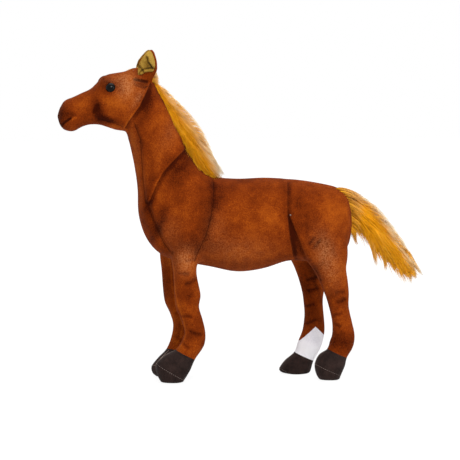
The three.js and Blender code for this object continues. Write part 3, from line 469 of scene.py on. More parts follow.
# Airbrushed tones mixed with painted shade and painted light, such as painted shade on the lower and far
# legs and under the jaw and painted light on the cheek: middle, reach across and down in sheet steps,
# tilt in degrees, strength
SHADES = [
    ((206, 208), (10, 34), 8, -0.52),
    ((218, 196), (9, 18), 0, -0.45),
    ((303, 215), (10, 30), -14, -0.60),
    ((284, 196), (6, 22), 0, -0.35),
    ((322, 245), (16, 8), 30, -0.20),
    ((98, 109.5), (5, 12), -18, -1.25),
    ((107, 118.5), (10, 3), 12, -0.75),
    ((62, 116), (9, 13), 15, -1.10),
    ((73, 115), (4, 2.5), 0, -0.60),
    ((70, 127), (8, 4), 10, 0.25),
    ((110.6, 86.3), (8.5, 8), 0, -1.20),
    ((122, 84), (5, 8), 0, -0.15),
    ((141, 84.6), (8, 2.6), 8, -0.75),
    ((148, 102), (6, 15), 28, -0.40),
    ((118, 125.5), (9, 3), 14, 0.55),
    ((135, 92), (9, 12), 20, 0.30),
    ((150, 190), (5, 30), 8, -0.65),
    ((182, 166), (17, 11), -42, -1.00),
    ((147, 108), (6, 22), 20, -0.45),
    ((158, 158), (8, 14), 0, 0.75),
    ((158, 228), (5, 22), 25, -0.75),
    ((196, 247), (14, 10), 20, -0.35),
    ((164, 218), (9, 14), -20, -0.25),
    ((115, 102), (10, 9), 0, 0.45),
    ((130, 82), (9, 8), 0, 0.30),
    ((134, 146), (4, 24), -8, 0.30),
    ((246, 226), (28, 20), 0, 0.12),
    ((272, 205), (12, 16), 0, 0.10),
    ((176, 208), (13, 28), 14, 0.05),
    ((112, 122), (8, 3), 12, -0.60),
    ((325, 252), (9, 14), 10, 0.20),
    ((240, 256), (26, 7), 0, 0.35),
    ((330, 212), (14, 20), 15, 0.42),
    ((314, 240), (8, 14), -10, 0.25),
    ((83, 103), (12, 6), -20, 0.15),
    ((186, 262), (8, 12), 0, 0.45),
    ((190, 300), (8, 14), 0, -0.20),
    ((172, 108), (7, 18), 35, 0.35),
    ((176, 138), (7, 12), 20, 0.30),
    ((240, 262), (40, 7), 0, -0.20),
    ((195, 336), (10, 9), 0, -0.40),
    ((340, 300), (9, 14), 0, -0.30),
    ((341, 342), (13, 14), 0, -0.75),
    ((314, 300), (9, 34), 0, -0.60),
    ((235, 186), (22, 6), 0, -0.45),
    ((190, 298), (9, 10), 0, -0.20),
]
# Painted sheen, where the velour is painted paler for the light its pile catches, as in SHADES
PAINTED_SHEENS = [
    ((127, 86), (9, 12), 10, 0.80),
    ((138, 98), (3, 10), 30, 0.45),
    ((118, 79), (12, 5), -8, 0.25),
    ((326, 254), (10, 20), -14, 0.65),
    ((333, 278), (8, 14), -10, 0.15),
    ((185, 261), (9, 12), 0, 0.65),
    ((236, 252), (34, 14), 0, 0.25),
    ((136, 150), (5, 26), -8, 0.10),
    ((170, 232), (10, 14), 0, 0.15),
    ((174, 128), (8, 20), 28, 0.20),
    ((216, 228), (10, 16), 0, 0.15),
]


def trunk_point(along, up):
    return np.array([RUMP_X - along * TRUNK_LENGTH, BELLY_HEIGHT + up * TRUNK_DEPTH])


def neck_point(along, up):
    return trunk_point(WITHERS, 1.0) + np.array([-along * NECK_SPAN, up * NECK_RISE])


def head_point(along, up):
    return neck_point(*NOD_PLACE) + np.array([-along * HEAD_LENGTH, up * HEAD_DEPTH - HEAD_SETTLE])


def view_axes():
    a, e = math.radians(VIEW_AZIMUTH), math.radians(VIEW_ELEVATION)
    back = np.array([math.sin(a) * math.cos(e), -math.cos(a) * math.cos(e), math.sin(e)])
    right = np.array([math.cos(a), math.sin(a), 0.0])
    return right, np.cross(back, right), back


def on_sheet(points):
    """Sheet steps across and down of points in space."""
    right, up, back = view_axes()
    away = points - np.array(SHEET_MIDDLE)
    scale = VIEW_DISTANCE / (VIEW_DISTANCE - away @ back) / SHEET_STEP
    return SHEET / 2 + (away @ right) * scale, SHEET / 2 - (away @ up) * scale


def from_sheet(across, down, y):
    """The point in space at a place on the sheet, in the plane at y."""
    right, up, back = view_axes()
    eye = np.array(SHEET_MIDDLE) + back * VIEW_DISTANCE
    ray = -back * VIEW_DISTANCE + right * (across - SHEET / 2) * SHEET_STEP
    ray = ray + up * (SHEET / 2 - down) * SHEET_STEP
    return eye + ray * (y - eye[1]) / ray[1]


def near_side(points):
    """Sheet places of points as if each lay on the left side."""
    mirrored = points.copy()
    mirrored[:, 1] = -np.abs(mirrored[:, 1])
    return np.stack(on_sheet(mirrored), 1)


def rings_between(sections, steps):
    """Smooth rows between sections of (middle x, z, half x, z, width)."""
    s = np.array(sections, float)
    last = len(s) - 1
    rows = []
    for i in range(last):
        a, b, c, d = s[max(i - 1, 0)], s[i], s[i + 1], s[min(i + 2, last)]
        for t in np.arange(steps) / steps:
            bend, twist = 2 * a - 5 * b + 4 * c - d, 3 * b - a - 3 * c + d
            rows.append(0.5 * (2 * b + (c - a) * t + bend * t * t + twist * t**3))
    rows.append(s[last])
    return np.array(rows)


def section(top, low, width):
    middle, half = (top + low) / 2, (top - low) / 2
    return [middle[0], middle[1], half[0], half[1], width / 2]


def sections_through(rows, point_at, width):
    return [section(point_at(r[0], r[1]), point_at(r[2], r[3]), r[4] * width) for r in rows]


def trunk_sections():
    neck = sections_through(NECK_ROWS, neck_point, NECK_WIDTH)
    return sections_through(TRUNK_ROWS, trunk_point, TRUNK_WIDTH) + neck


def head_sections():
    return sections_through(HEAD_ROWS, head_point, HEAD_WIDTH)


def on_ring(ring, angles, out=0.0, square=SQUARENESS):
    """Points round a superelliptic section, a distance out from it."""
    mx, mz, hx, hz, wide = ring
    c, s = (np.sign(v) * np.abs(v) ** (2 / square) for v in (np.cos(angles), np.sin(angles)))
    k = 1 + out / math.hypot(hx, hz)
    return np.stack([mx + c * hx * k, s * (wide + out), mz + c * hz * k], 1)


def ring_faces(rings, around):
    """The faces between rings of points that follow each other."""
    faces = []
    for low in range(0, (rings - 1) * around, around):
        for i in range(around):
            j = (i + 1) % around
            faces.append((low + i, low + j, low + around + j, low + around + i))
    return faces


def stuffed(sections, tips, around=48, steps=6, square=SQUARENESS):
    """Points and faces of a closed form through the sections."""
    rings = rings_between(sections, steps)
    angles = 2 * np.pi * np.arange(around) / around
    points = [on_ring(ring, angles, square=square) for ring in rings]
    points.append([[t[0], 0.0, t[1]] for t in tips])
    faces = ring_faces(len(rings), around)
    first = len(rings) * around
    for i in range(around):
        j = (i + 1) % around
        faces.append((first, j, i))
        faces.append((first + 1, first - around + i, first - around + j))
    return facing_out(np.concatenate(points), faces)


def facing_out(points, faces):
    """Points and faces, with the faces turned if they face in."""
    volume = 0.0
    for f in faces:
        for k in range(1, len(f) - 1):
            volume += np.dot(points[f[0]], np.cross(points[f[k]], points[f[k + 1]]))
    return points, [tuple(reversed(f)) for f in faces] if volume < 0 else faces


def moved(form, matrix):
    points, faces = form
    m = np.array(matrix)
    return points @ m[:3, :3].T + m[:3, 3], faces


def ankle_of(leg):
    """The point that a foot is turned about."""
    x, z = leg["lines"][HOOF_ROW - 1][0]
    return leg["matrix"] @ Vector((x, 0, z))


def foot_turned(points, kind, side):
    """Points of a leg in space, with its foot turned about its ankle."""
    middle = ankle_of(leg_frame(kind, side))
    lower = 1 - step_up(points[:, 2], *FOOT_TURN_SPAN)
    angle = math.radians(FOOT_TURNS[f"{kind}_{side}"]) * lower
    points = points.copy()
    x, y = points[:, 0] - middle.x, points[:, 1] - middle.y
    points[:, 0] = middle.x + x * np.cos(angle) - y * np.sin(angle)
    points[:, 1] = middle.y + x * np.sin(angle) + y * np.cos(angle)
    return points


def ball(centre, radii, rows=24):
    around = rows * 2
    points, faces = [], []
    for i in range(1, rows):
        a = math.pi * i / rows
        for j in range(around):
            b = math.pi * j / rows
            points.append((math.sin(a) * math.cos(b), math.sin(a) * math.sin(b), math.cos(a)))
    for low in range(0, (rows - 2) * around, around):
        for j in range(around):
            k = (j + 1) % around
            faces.append((low + j, low + around + j, low + around + k, low + k))
    top, low = len(points), len(points) + 1
    points += [(0, 0, 1), (0, 0, -1)]
    for j in range(around):
        k = (j + 1) % around
        faces.append((top, j, k))
        faces.append((low, (rows - 2) * around + k, (rows - 2) * around + j))
    return facing_out(np.array(points) * np.array(radii) + np.array(centre), faces)


def joined(forms):
    points, faces, start = [], [], 0
    for p, f in forms:
        points.append(p)
        faces += [tuple(i + start for i in face) for face in f]
        start += len(p)
    return np.concatenate(points), faces


def new_object(name, points, faces, edges=()):
    mesh = bpy.data.meshes.new(name)
    faces = [tuple(int(i) for i in f) for f in faces]
    mesh.from_pydata([tuple(p) for p in points], list(edges), faces)
    mesh.update()
    obj = bpy.data.objects.new(name, mesh)
    bpy.context.scene.collection.objects.link(obj)
    return obj


def smooth_shaded(obj):
    obj.data.polygons.foreach_set("use_smooth", [True] * len(obj.data.polygons))


def finished(obj):
    """The object's mesh with its modifiers applied."""
    bpy.context.view_layer.update()
    depsgraph = bpy.context.evaluated_depsgraph_get()
    mesh = bpy.data.meshes.new_from_object(obj.evaluated_get(depsgraph))
    obj.modifiers.clear()
    obj.data = mesh
    return obj


def read(items, name, width, kind=float):
    """One property of all the items, as rows."""
    values = np.zeros(len(items) * width, kind)
    items.foreach_get(name, values)
    return values.reshape(-1, width)


def places(mesh):
    return read(mesh.vertices, "co", 3)


def set_places(mesh, co):
    mesh.vertices.foreach_set("co", co.ravel())
    mesh.update()


def normals(mesh):
    return read(mesh.vertex_normals, "vector", 3)


def smoothed(mesh, co, rounds, keep=True, weight=None):
    """Evens out bumps between neighbouring points, without shrinking the form if it is kept."""
    e = read(mesh.edges, "vertices", 2, int)
    count = np.bincount(e.ravel(), minlength=len(co))[:, None]
    for _ in range(rounds):
        for amount in (0.5, -0.52) if keep else (0.5,):
            total = np.zeros_like(co)
            for k in range(3):
                total[:, k] = np.bincount(e[:, 0], co[e[:, 1], k], len(co))
                total[:, k] += np.bincount(e[:, 1], co[e[:, 0], k], len(co))
            step = amount * (total / count - co)
            co = co + (step if weight is None else step * weight[:, None])
    return co


def largest_piece(obj):
    """Leaves only the largest of the mesh's loose parts."""
    bm = bmesh.new()
    bm.from_mesh(obj.data)
    left, groups = set(bm.verts), []
    while left:
        seed = left.pop()
        group, stack = {seed}, [seed]
        while stack:
            for e in stack.pop().link_edges:
                for v in e.verts:
                    if v in left:
                        left.discard(v)
                        group.add(v)
                        stack.append(v)
        groups.append(group)
    groups.sort(key=len)
    for group in groups[:-1]:
        bmesh.ops.delete(bm, geom=list(group), context="VERTS")
    bm.to_mesh(obj.data)
    bm.free()


def lowered(down):
    """How much of the ankle's drop a row takes: all at the ankle, none at knee and sole."""
    if down < ANKLE_SPAN[1]:
        return max(0.0, (down - ANKLE_SPAN[0]) / (ANKLE_SPAN[1] - ANKLE_SPAN[0]))
    return 1.0 - ((down - ANKLE_SPAN[1]) / (1.0 - ANKLE_SPAN[1])) ** 2


def leg_y(side):
    return -LEG_TRACK / 2 if side == "left" else LEG_TRACK / 2


def leg_frame(kind, side):
    """Sections in the leg's own frame, its matrix, and its seam lines."""
    data, name = LEGS[kind], f"{kind}_{side}"
    x, z = data["place"]
    slant = math.tan(math.radians(STRIDES[name]))
    lines, sections = [], []
    for ahead, down, slope, thick, wide in data["rows"]:
        down += ANKLE_DROPS[name] * lowered(down)
        tilt = math.radians(slope)
        back = np.array([math.cos(tilt), -math.sin(tilt)])
        middle = np.array([-(ahead + slant * down) * z, -down * z])
        reach = thick * data["thick"] / 2
        lines.append((middle, back))
        sections.append(section(middle - back * reach, middle + back * reach, wide * data["wide"]))
    return {
        "sections": sections,
        "tips": [
            np.array([0.0, data["thick"] / 4]),
            np.array([-(data["rows"][-1][0] + slant) * z, -z - SOLE_LIFT]),
        ],
        "matrix": Matrix.Translation((x - LEG_SHIFTS[name], leg_y(side), z)),
        "lines": lines,
    }


def leg_names():
    return [(kind, side) for kind in ("fore", "hind") for side in ("left", "right")]


def foot_at(x, y):
    """The kind and side of the leg that a place belongs to."""
    return "fore" if x < FORE_END else "hind", "left" if y < 0 else "right"


def along_line(spots, line):
    """For each spot on the sheet: signed distance to the line in mm, and the share along it."""
    line = np.array(line, float)
    best = np.full(len(spots), 1e9)
    signed = np.zeros(len(spots))
    share = np.zeros(len(spots))
    lengths = np.linalg.norm(np.diff(line, axis=0), axis=1)
    total, done = lengths.sum(), 0.0
    for a, b, length in zip(line[:-1], line[1:], lengths):
        d = (b - a) / length
        t = np.clip((spots - a) @ d, 0, length)
        off = spots - a - t[:, None] * d
        away = np.linalg.norm(off, axis=1)
        side = np.sign(d[0] * off[:, 1] - d[1] * off[:, 0])
        closer = away < best
        best = np.where(closer, away, best)
        signed = np.where(closer, side * away, signed)
        share = np.where(closer, (done + t) / total, share)
        done += length
    return signed * SHEET_STEP * 1000, share


def bump(distance, width):
    return np.exp(-((distance / width) ** 2))


def step_up(values, low, high):
    t = np.clip((values - low) / (high - low), 0, 1)
    return t * t * (3 - 2 * t)


def faded(share, low, high):
    """1 along a line, falling off in the same way at both ends."""
    return step_up(share, low, high) * (1 - step_up(share, 1 - high, 1 - low))


def coat_forms():
    """The stuffed forms that the coat is drawn over."""
    forms = [
        stuffed(trunk_sections(), [trunk_point(*RUMP_TIP), neck_point(*NECK_TIP)]),
        stuffed(head_sections(), [head_point(*NOSE_TIP), head_point(*HEAD_TIP)]),
    ]
    for kind, side in leg_names():
        leg = leg_frame(kind, side)
        points, faces = moved(stuffed(leg["sections"], leg["tips"], 36), leg["matrix"])
        forms.append((foot_turned(points, kind, side), faces))
    for way in (-1, 1):
        for (x, y, z), radii in BULGES:
            forms.append(ball((x, way * y, z), radii))
    return forms


def puffed(obj, held):
    """Fills the coat: the cloth swells under pressure, held back along its seams."""
    s, start = sizes(), places(obj.data)
    group = obj.vertex_groups.new(name="seams")
    for index in np.nonzero(held > 0.02)[0]:
        group.add([int(index)], float(min(1.0, held[index])), "REPLACE")
    cloth = obj.modifiers.new("filling", "CLOTH")
    settings = cloth.settings
    settings.use_pressure = True
    settings.uniform_pressure_force = s.pressure
    settings.vertex_group_mass = group.name
    settings.effector_weights.gravity = 0.0
    settings.quality = 4
    settings.mass = CLOTH_MASS
    settings.tension_stiffness = settings.compression_stiffness = s.stretch
    settings.shear_stiffness = s.stretch
    cloth.point_cache.frame_start = 1
    cloth.point_cache.frame_end = CLOTH_FRAMES
    scene = bpy.context.scene
    for number in range(1, CLOTH_FRAMES + 1):
        scene.frame_set(number)
    depsgraph = bpy.context.evaluated_depsgraph_get()
    swollen = bpy.data.meshes.new_from_object(obj.evaluated_get(depsgraph))
    move = places(swollen) - start
    bpy.data.meshes.remove(swollen)
    obj.modifiers.clear()
    obj.vertex_groups.clear()
    scene.frame_set(1)
    length = np.linalg.norm(move, axis=1)
    swelled = (round(float(v) * 1000, 2) for v in (length.mean(), length.max()))
    print("coat swelled by", *swelled, "mm")
    limit = s.swell * np.tanh(length / s.swell)
    move = move * (limit / np.maximum(length, 1e-9))[:, None]
    set_places(obj.data, start + smoothed(obj.data, move, 3, keep=False))


def seam_hold(co):
    """How firmly each point of the coat is held by a seam."""
    spots = near_side(co)
    held = np.zeros(len(co))
    for line, *_ in SEAMS:
        distance, _ = along_line(spots, line)
        held = np.maximum(held, bump(distance, 2.2))
    for line, _, _ in CREASES:
        distance, _ = along_line(spots, line)
        held = np.maximum(held, 0.6 * bump(distance, 2.0))
    for kind, side in leg_names():
        distance = beyond(co, *turned_plane(kind, side)) * 1000
        held = np.maximum(held, bump(distance, 5.0) * same_foot(co, kind, side))
    return held


def same_foot(co, kind, side):
    fore, left = co[:, 0] < FORE_END, co[:, 1] < 0
    return (co[:, 2] < FOOT_TOP) & (fore == (kind == "fore")) & (left == (side == "left"))


def facing_side(n):
    return step_up(np.abs(n[:, 1]), 0.15, 0.6)


def work_in(co, n):
    """Grooves of the seams and creases, and the fullness between them."""
    spots = near_side(co)
    depth = np.zeros(len(co))
    for line, deep, wide, over in SEAMS:
        distance, share = along_line(spots, line)
        ends = faded(share, 0, 0.06)
        depth -= deep * bump(distance, wide) * ends
        depth += 0.35 * deep * bump(np.abs(distance) - 2.4 * wide, 1.6 * wide) * ends
        depth += over * np.tanh(distance / 0.9) * bump(distance, 7.0) * ends
    for line, deep, wide in CREASES:
        distance, share = along_line(spots, line)
        ends = faded(share, -0.01, 0.2)
        depth -= deep * bump(distance, wide) * ends
        depth += 0.4 * deep * bump(np.abs(distance) - 2.3 * wide, 1.5 * wide) * ends
    depth -= 1.6 * open_dart(spots)
    return depth * facing_side(n) * 0.001


def open_dart(spots):
    """Where the dart between the flank seam and the thigh gapes."""
    flank, share = along_line(spots, FLANK)
    back, along = along_line(spots, DART_BACK)
    inside = step_up(-flank, 0.0, 1.2) * step_up(back, 0.0, 1.2)
    return inside * step_up(spots[:, 1], 214, 222) * (1 - step_up(along, 0.7, 1.0)) * (share > 0.3)


def plane_cut(bm, point, direction, wanted=lambda centre: True):
    """Cuts the faces whose centres are wanted along a plane."""
    geometry = [f for f in bm.faces if wanted(f.calc_center_median())]
    edges = {e for f in geometry for e in f.edges}
    verts = {v for f in geometry for v in f.verts}
    bmesh.ops.bisect_plane(
        bm, geom=geometry + list(edges) + list(verts), plane_co=point, plane_no=direction, dist=1e-6
    )


def set_number(mesh, name, values):
    attribute = mesh.attributes.get(name) or mesh.attributes.new(name, "FLOAT", "POINT")
    attribute.data.foreach_set("value", np.asarray(values, np.float32))


def set_vector(mesh, name, values):
    attribute = mesh.attributes.new(name, "FLOAT_VECTOR", "POINT")
    attribute.data.foreach_set("vector", values.ravel().astype(np.float32))


def piece_of(source, faces, name, turned):
    """The faces of the source mesh as an object of its own, shaded as one with the rest."""
    co = places(source)
    corners = [source.polygons[f].vertices[:] for f in faces]
    used = sorted({v for face in corners for v in face})
    index = {v: i for i, v in enumerate(used)}
    obj = new_object(name, co[used], [[index[v] for v in face] for face in corners])
    smooth_shaded(obj)
    obj.data.normals_split_custom_set_from_vertices([tuple(turned[v]) for v in used])
    for attribute in source.attributes:
        if attribute.domain == "POINT" and attribute.data_type == "FLOAT":
            values = read(attribute.data, "value", 1, np.float32)[used, 0]
            set_number(obj.data, attribute.name, values)
    return obj


def node(tree, kind, wires=None, **settings):
    """A new node with its settings, and its sockets wired by name or number."""
    made = tree.nodes.new(kind)
    for key, value in settings.items():
        setattr(made, key, value)
    for key, value in (wires or {}).items():
        wire(tree, value, made.inputs[key])
    return made


def wire(tree, value, socket):
    """Joins a node, or one of its outputs, to a socket, or sets a plain value on it."""
    if isinstance(value, bpy.types.Node):
        value = value.outputs[0]
    if isinstance(value, bpy.types.NodeSocket):
        tree.links.new(value, socket)
    else:
        socket.default_value = value


def sums(tree, operation, a, b=0.0, c=None):
    wires = {0: a, 1: b} if c is None else {0: a, 1: b, 2: c}
    return node(tree, "ShaderNodeMath", wires, operation=operation).outputs[0]


def swayed(tree, tone, value, amount):
    """A tone pushed up and down by a value that is even at one half."""
    return sums(tree, "MULTIPLY_ADD", sums(tree, "SUBTRACT", value, 0.5), amount, tone)


def ranged(tree, value, low, high, to_low=0.0, to_high=1.0, kind="SMOOTHSTEP"):
    wires = dict(enumerate((value, low, high, to_low, to_high)))
    return node(tree, "ShaderNodeMapRange", wires, interpolation_type=kind).outputs[0]


def noise(tree, scale, detail=2.0, roughness=0.5):
    coords = node(tree, "ShaderNodeTexCoord").outputs["Object"]
    wires = {"Vector": coords, "Scale": scale, "Detail": detail, "Roughness": roughness}
    return node(tree, "ShaderNodeTexNoise", wires).outputs[0]


def marked(tree, name):
    return node(tree, "ShaderNodeAttribute", attribute_name=name).outputs["Fac"]


def ramp(tree, value, stops):
    made = node(tree, "ShaderNodeValToRGB", {0: value})
    elements = made.color_ramp.elements
    while len(elements) < len(stops):
        elements.new(0.5)
    for element, (place, color) in zip(elements, stops):
        element.position = place
        element.color = opaque(color)
    return made.outputs[0]


def mixed(tree, amount, a, b):
    return node(tree, "ShaderNodeMix", {0: amount, 6: a, 7: b}, data_type="RGBA").outputs[2]


def raised(tree, shader, height, strength, distance):
    wires = {"Strength": strength, "Distance": distance, "Height": height}
    wire(tree, node(tree, "ShaderNodeBump", wires), shader.inputs["Normal"])


def seen_rays(tree):
    """1 for the rays that show the room itself, and 0 for those that light the toy."""
    seen = node(tree, "ShaderNodeLightPath").outputs
    rays = sums(tree, "MAXIMUM", seen["Is Camera Ray"], seen["Is Glossy Ray"])
    return sums(tree, "MAXIMUM", rays, seen["Is Transmission Ray"])


def opaque(color):
    return (*color, 1.0)


def cloth_material(name, roughness=0.9, sheen=0.04, sheen_tint=(1.0, 0.6, 0.35), specular=0.05):
    material = bpy.data.materials.new(name)
    material.use_nodes = True
    tree = material.node_tree
    shader = tree.nodes["Principled BSDF"]
    shader.inputs["Roughness"].default_value = roughness
    shader.inputs["Specular IOR Level"].default_value = specular
    shader.inputs["Sheen Weight"].default_value = sheen
    shader.inputs["Sheen Roughness"].default_value = 0.4
    shader.inputs["Sheen Tint"].default_value = opaque(sheen_tint)
    return material, tree, shader


def velour(name, dark, middle, light, grain=1.0):
    """Short-pile velour: airbrushed and mottled, with painted shade, light and sheen, painted shade in its
    seams and the pile's own grain.
    """
    material, tree, shader = cloth_material(name)
    broad = noise(tree, 30.0)
    blotch = noise(tree, 120.0, 3.0, 0.6)
    pile = noise(tree, 700.0, 3.0, 0.7)
    speck = noise(tree, 1700.0, 1.0)
    # The shade attribute: airbrushed tones with painted shade and painted light
    tone = sums(tree, "MULTIPLY_ADD", marked(tree, "shade"), 0.46, 0.5)
    sways = ((broad, 0.75), (blotch, 0.35), (pile, 0.75 * grain), (speck, 0.8 * grain))
    for value, amount in sways:
        tone = swayed(tree, tone, value, amount)
    color = ramp(tree, tone, [(0.0, dark), (0.5, middle), (1.0, light)])
    # Painted sheen: a paler tone mixed in where the pile catches the light, broken up by its grain
    pale = [0.55 * v + 0.45 * w for v, w in zip(light, (0.62, 0.36, 0.17))]
    sheen_grain = ranged(tree, pile, 0.35, 0.65, 0.05, 0.8)
    color = mixed(tree, sums(tree, "MULTIPLY", marked(tree, "frost"), sheen_grain), color, opaque(pale))
    # Painted shade: a dark line in the groove of each seam
    seam_shading = ranged(tree, sums(tree, "ABSOLUTE", marked(tree, "seam")), 0.15, 0.85, 1.0, 0.0)
    seam_shading = sums(tree, "MULTIPLY", seam_shading, marked(tree, "stitched"))
    seam_shade_color = opaque([c * 0.25 for c in dark])
    color = mixed(tree, sums(tree, "MULTIPLY", seam_shading, 0.5), color, seam_shade_color)
    wire(tree, color, shader.inputs["Base Color"])
    raised(tree, shader, sums(tree, "MULTIPLY_ADD", speck, 0.4, pile), 0.55, 0.0009)
    return material


def suede(name, dark, light, sheen=0.06):
    material, tree, shader = cloth_material(name, 0.85, sheen, (0.9, 0.8, 0.75), 0.12)
    nap = noise(tree, 1500.0, 3.0, 0.7)
    tone = swayed(tree, nap, noise(tree, 90.0, 3.0, 0.6), 1.2)
    # The shade attribute brings painted shade and light, as on the ear lining
    tone = sums(tree, "MULTIPLY_ADD", marked(tree, "shade"), 0.5, tone)
    color = ramp(tree, tone, [(0.0, [c * 0.3 for c in dark]), (0.25, dark), (0.75, light)])
    wire(tree, color, shader.inputs["Base Color"])
    raised(tree, shader, nap, 0.5, 0.0005)
    return material


def long_pile(name):
    """Strands of long pile, deeper at the root, pale at the tip, each with its own tone."""
    material, tree, shader = cloth_material(name, 0.6, 0.0, (1.0, 0.85, 0.6), 0.12)
    tone = sums(tree, "MULTIPLY_ADD", marked(tree, "along"), 0.35, -0.08)
    tone = sums(tree, "MULTIPLY_ADD", marked(tree, "tone"), 0.75, tone)
    tone = swayed(tree, tone, noise(tree, 60.0, 2.0, 0.6), 0.5)
    c = colors()
    amber = [0.6 * a + 0.4 * b for a, b in zip(c.pile, (1.0, 0.60, 0.10))]
    color = ramp(tree, tone, [(0.0, c.pile_dark), (0.45, c.pile), (1.0, amber)])
    # Pale tips on the outer side: the pile's own pale tips, painted paler still for the light that shines
    # through the thin strands
    tips = ranged(tree, marked(tree, "along"), 0.1, 0.8)
    pale_tips_and_light = sums(tree, "MULTIPLY", marked(tree, "pale"), tips)
    color = mixed(tree, sums(tree, "MULTIPLY", pale_tips_and_light, 0.85), color, opaque(c.pile_light))
    wire(tree, color, shader.inputs["Base Color"])
    return material


def plastic(name, color, roughness, specular=0.5):
    material, tree, shader = cloth_material(name, roughness, 0.0, (1, 1, 1), specular)
    tint = mixed(tree, noise(tree, 300.0), opaque(color), opaque([c * 0.8 for c in color]))
    wire(tree, tint, shader.inputs["Base Color"])
    return material


def rgb(values):
    """Linear colour of values written as on a screen, 0 to 255."""
    scaled = [v / 255 for v in values]
    return tuple(v / 12.92 if v <= 0.04045 else ((v + 0.055) / 1.055) ** 2.4 for v in scaled)


class PlushHorseSizes(bpy.types.PropertyGroup):
    pressure: FloatProperty(
        name="Filling pressure",
        description="How hard the filling swells the coat",
        default=30.0, min=0.0,
    )
    stretch: FloatProperty(
        name="Stretch",
        description="How stiff the velour is when the filling stretches it",
        default=0.3, min=0.0,
    )
    swell: FloatProperty(
        name="Swell",
        description="How far the coat may swell",
        default=0.0022, unit="LENGTH",
    )
    weave: FloatProperty(
        name="Coat mesh",
        description="Edge length of the coat's mesh before it is divided",
        default=0.0024, unit="LENGTH",
    )


class PlushHorseColors(bpy.types.PropertyGroup):
    coat: FloatVectorProperty(
        name="Coat",
        description="Middle tone of the chestnut coat",
        subtype="COLOR", size=3, default=rgb((128, 50, 6)),
    )
    # The dark and light ends of the coat's tones colour its airbrushing and also its painted shade and light
    coat_dark: FloatVectorProperty(
        name="Coat shade",
        description="Airbrushed dark tone of the coat",
        subtype="COLOR", size=3, default=rgb((60, 14, 0)),
    )
    coat_light: FloatVectorProperty(
        name="Coat light",
        description="Light tone of the coat",
        subtype="COLOR", size=3, default=rgb((184, 90, 18)),
    )
    sock: FloatVectorProperty(
        name="Sock",
        description="White sock",
        subtype="COLOR", size=3, default=rgb((248, 246, 251)),
    )
    pile: FloatVectorProperty(
        name="Pile",
        description="Middle tone of mane and tail",
        subtype="COLOR", size=3, default=rgb((255, 180, 12)),
    )
    pile_dark: FloatVectorProperty(
        name="Pile root",
        description="Deep tone at the roots of the pile",
        subtype="COLOR", size=3, default=rgb((166, 88, 2)),
    )
    pile_light: FloatVectorProperty(
        name="Pile tip",
        description="Pale tone at the tips of the pile",
        subtype="COLOR", size=3, default=rgb((255, 244, 215)),
    )
    hoof: FloatVectorProperty(
        name="Hoof",
        description="Suede of the hooves",
        subtype="COLOR", size=3, default=rgb((40, 28, 25)),
    )


def sizes():
    return bpy.context.scene.plush_horse_sizes


def colors():
    return bpy.context.scene.plush_horse_colors


MATERIALS = {}


def material_named(name):
    """The material of that name, made when it is first asked for."""
    if name not in MATERIALS:
        c = colors()
        makers = {
            "chestnut_velour": lambda: velour(name, c.coat_dark, c.coat, c.coat_light),
            # The sock's lilac dark tone is the colour of its painted shade
            "white_velour": lambda: velour(
                name, rgb((205, 202, 212)), c.sock, rgb((255, 255, 255)), 0.4
            ),
            "dark_suede": lambda: suede(
                name, [v * 0.55 for v in c.hoof], [v * 1.7 for v in c.hoof]
            ),
            "olive_suede": lambda: suede(name, rgb((122, 88, 24)), rgb((184, 146, 62))),
            "golden_long_pile": lambda: long_pile(name),
            "eye_plastic": lambda: plastic(name, rgb((3, 2, 2)), 0.08, 0.12),
            "taupe_thread": lambda: suede(name, rgb((112, 98, 92)), rgb((160, 144, 134))),
            "washer_plastic": lambda: plastic(name, rgb((235, 235, 230)), 0.5),
        }
        MATERIALS[name] = makers[name]()
    return MATERIALS[name]


def placed(obj, slot, body, node_name):
    """Gives a piece its material and its body, and hides the node it stands for."""
    obj.data.materials.append(material_named(slot))
    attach(obj, body)
    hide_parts(node_name)


def bent_at_neck(obj):
    """Lets a piece bend along the neck, between the trunk and the head."""
    start, end = (HEAD_SEAM - SEAM_AHEAD * away for away in (NECK_BEND, SEAM_ROOM))
    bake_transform(obj, "trunk", "head", start=start, end=end)


def sock_planes():
    """Point and downward normal of the two edges of the sock's peak."""
    planes = []
    for a, b in SOCK_EDGES:
        p, q = from_sheet(*a, SOCK_Y), from_sheet(*b, SOCK_Y)
        along = q - p
        down = np.array([along[2], 0.0, -along[0]])
        down = down / np.linalg.norm(down) * (1 if down[2] < 0 else -1)
        planes.append((Vector(p), Vector(down)))
    return planes


def hoof_plane(leg, row, shift=0.0):
    """Point on, and downward normal of, a seam row of a leg."""
    middle, back = leg["lines"][row]
    down = Vector((back[1], 0.0, -back[0]))
    point = leg["matrix"] @ (Vector((middle[0], 0.0, middle[1])) + down * shift)
    return point, leg["matrix"].to_3x3() @ down


def turned_plane(kind, side):
    """The plane of a hoof's seam after the foot is turned about its ankle."""
    leg = leg_frame(kind, side)
    point, down = hoof_plane(leg, HOOF_ROW)
    x, y, _ = ankle_of(leg)
    turn = Matrix.Rotation(math.radians(FOOT_TURNS[f"{kind}_{side}"]), 4, "Z")
    about = Matrix.Translation((x, y, 0)) @ turn @ Matrix.Translation((-x, -y, 0))
    return about @ point, turn.to_3x3() @ down


def beyond(co, point, direction):
    """How far points lie past a plane."""
    return (co - np.array(point)) @ np.array(direction)


def leg_roots(co):
    """0.9 where a leg grows out of the body, falling off around it."""
    near = [np.exp(-(((co[:, 0] - leg["place"][0]) / ROOT_REACH) ** 4)) for leg in LEGS.values()]
    level = np.exp(-(((co[:, 2] - ROOT_HEIGHT) / ROOT_RISE) ** 2))
    return 0.9 * np.clip(sum(near), 0, 1) * level


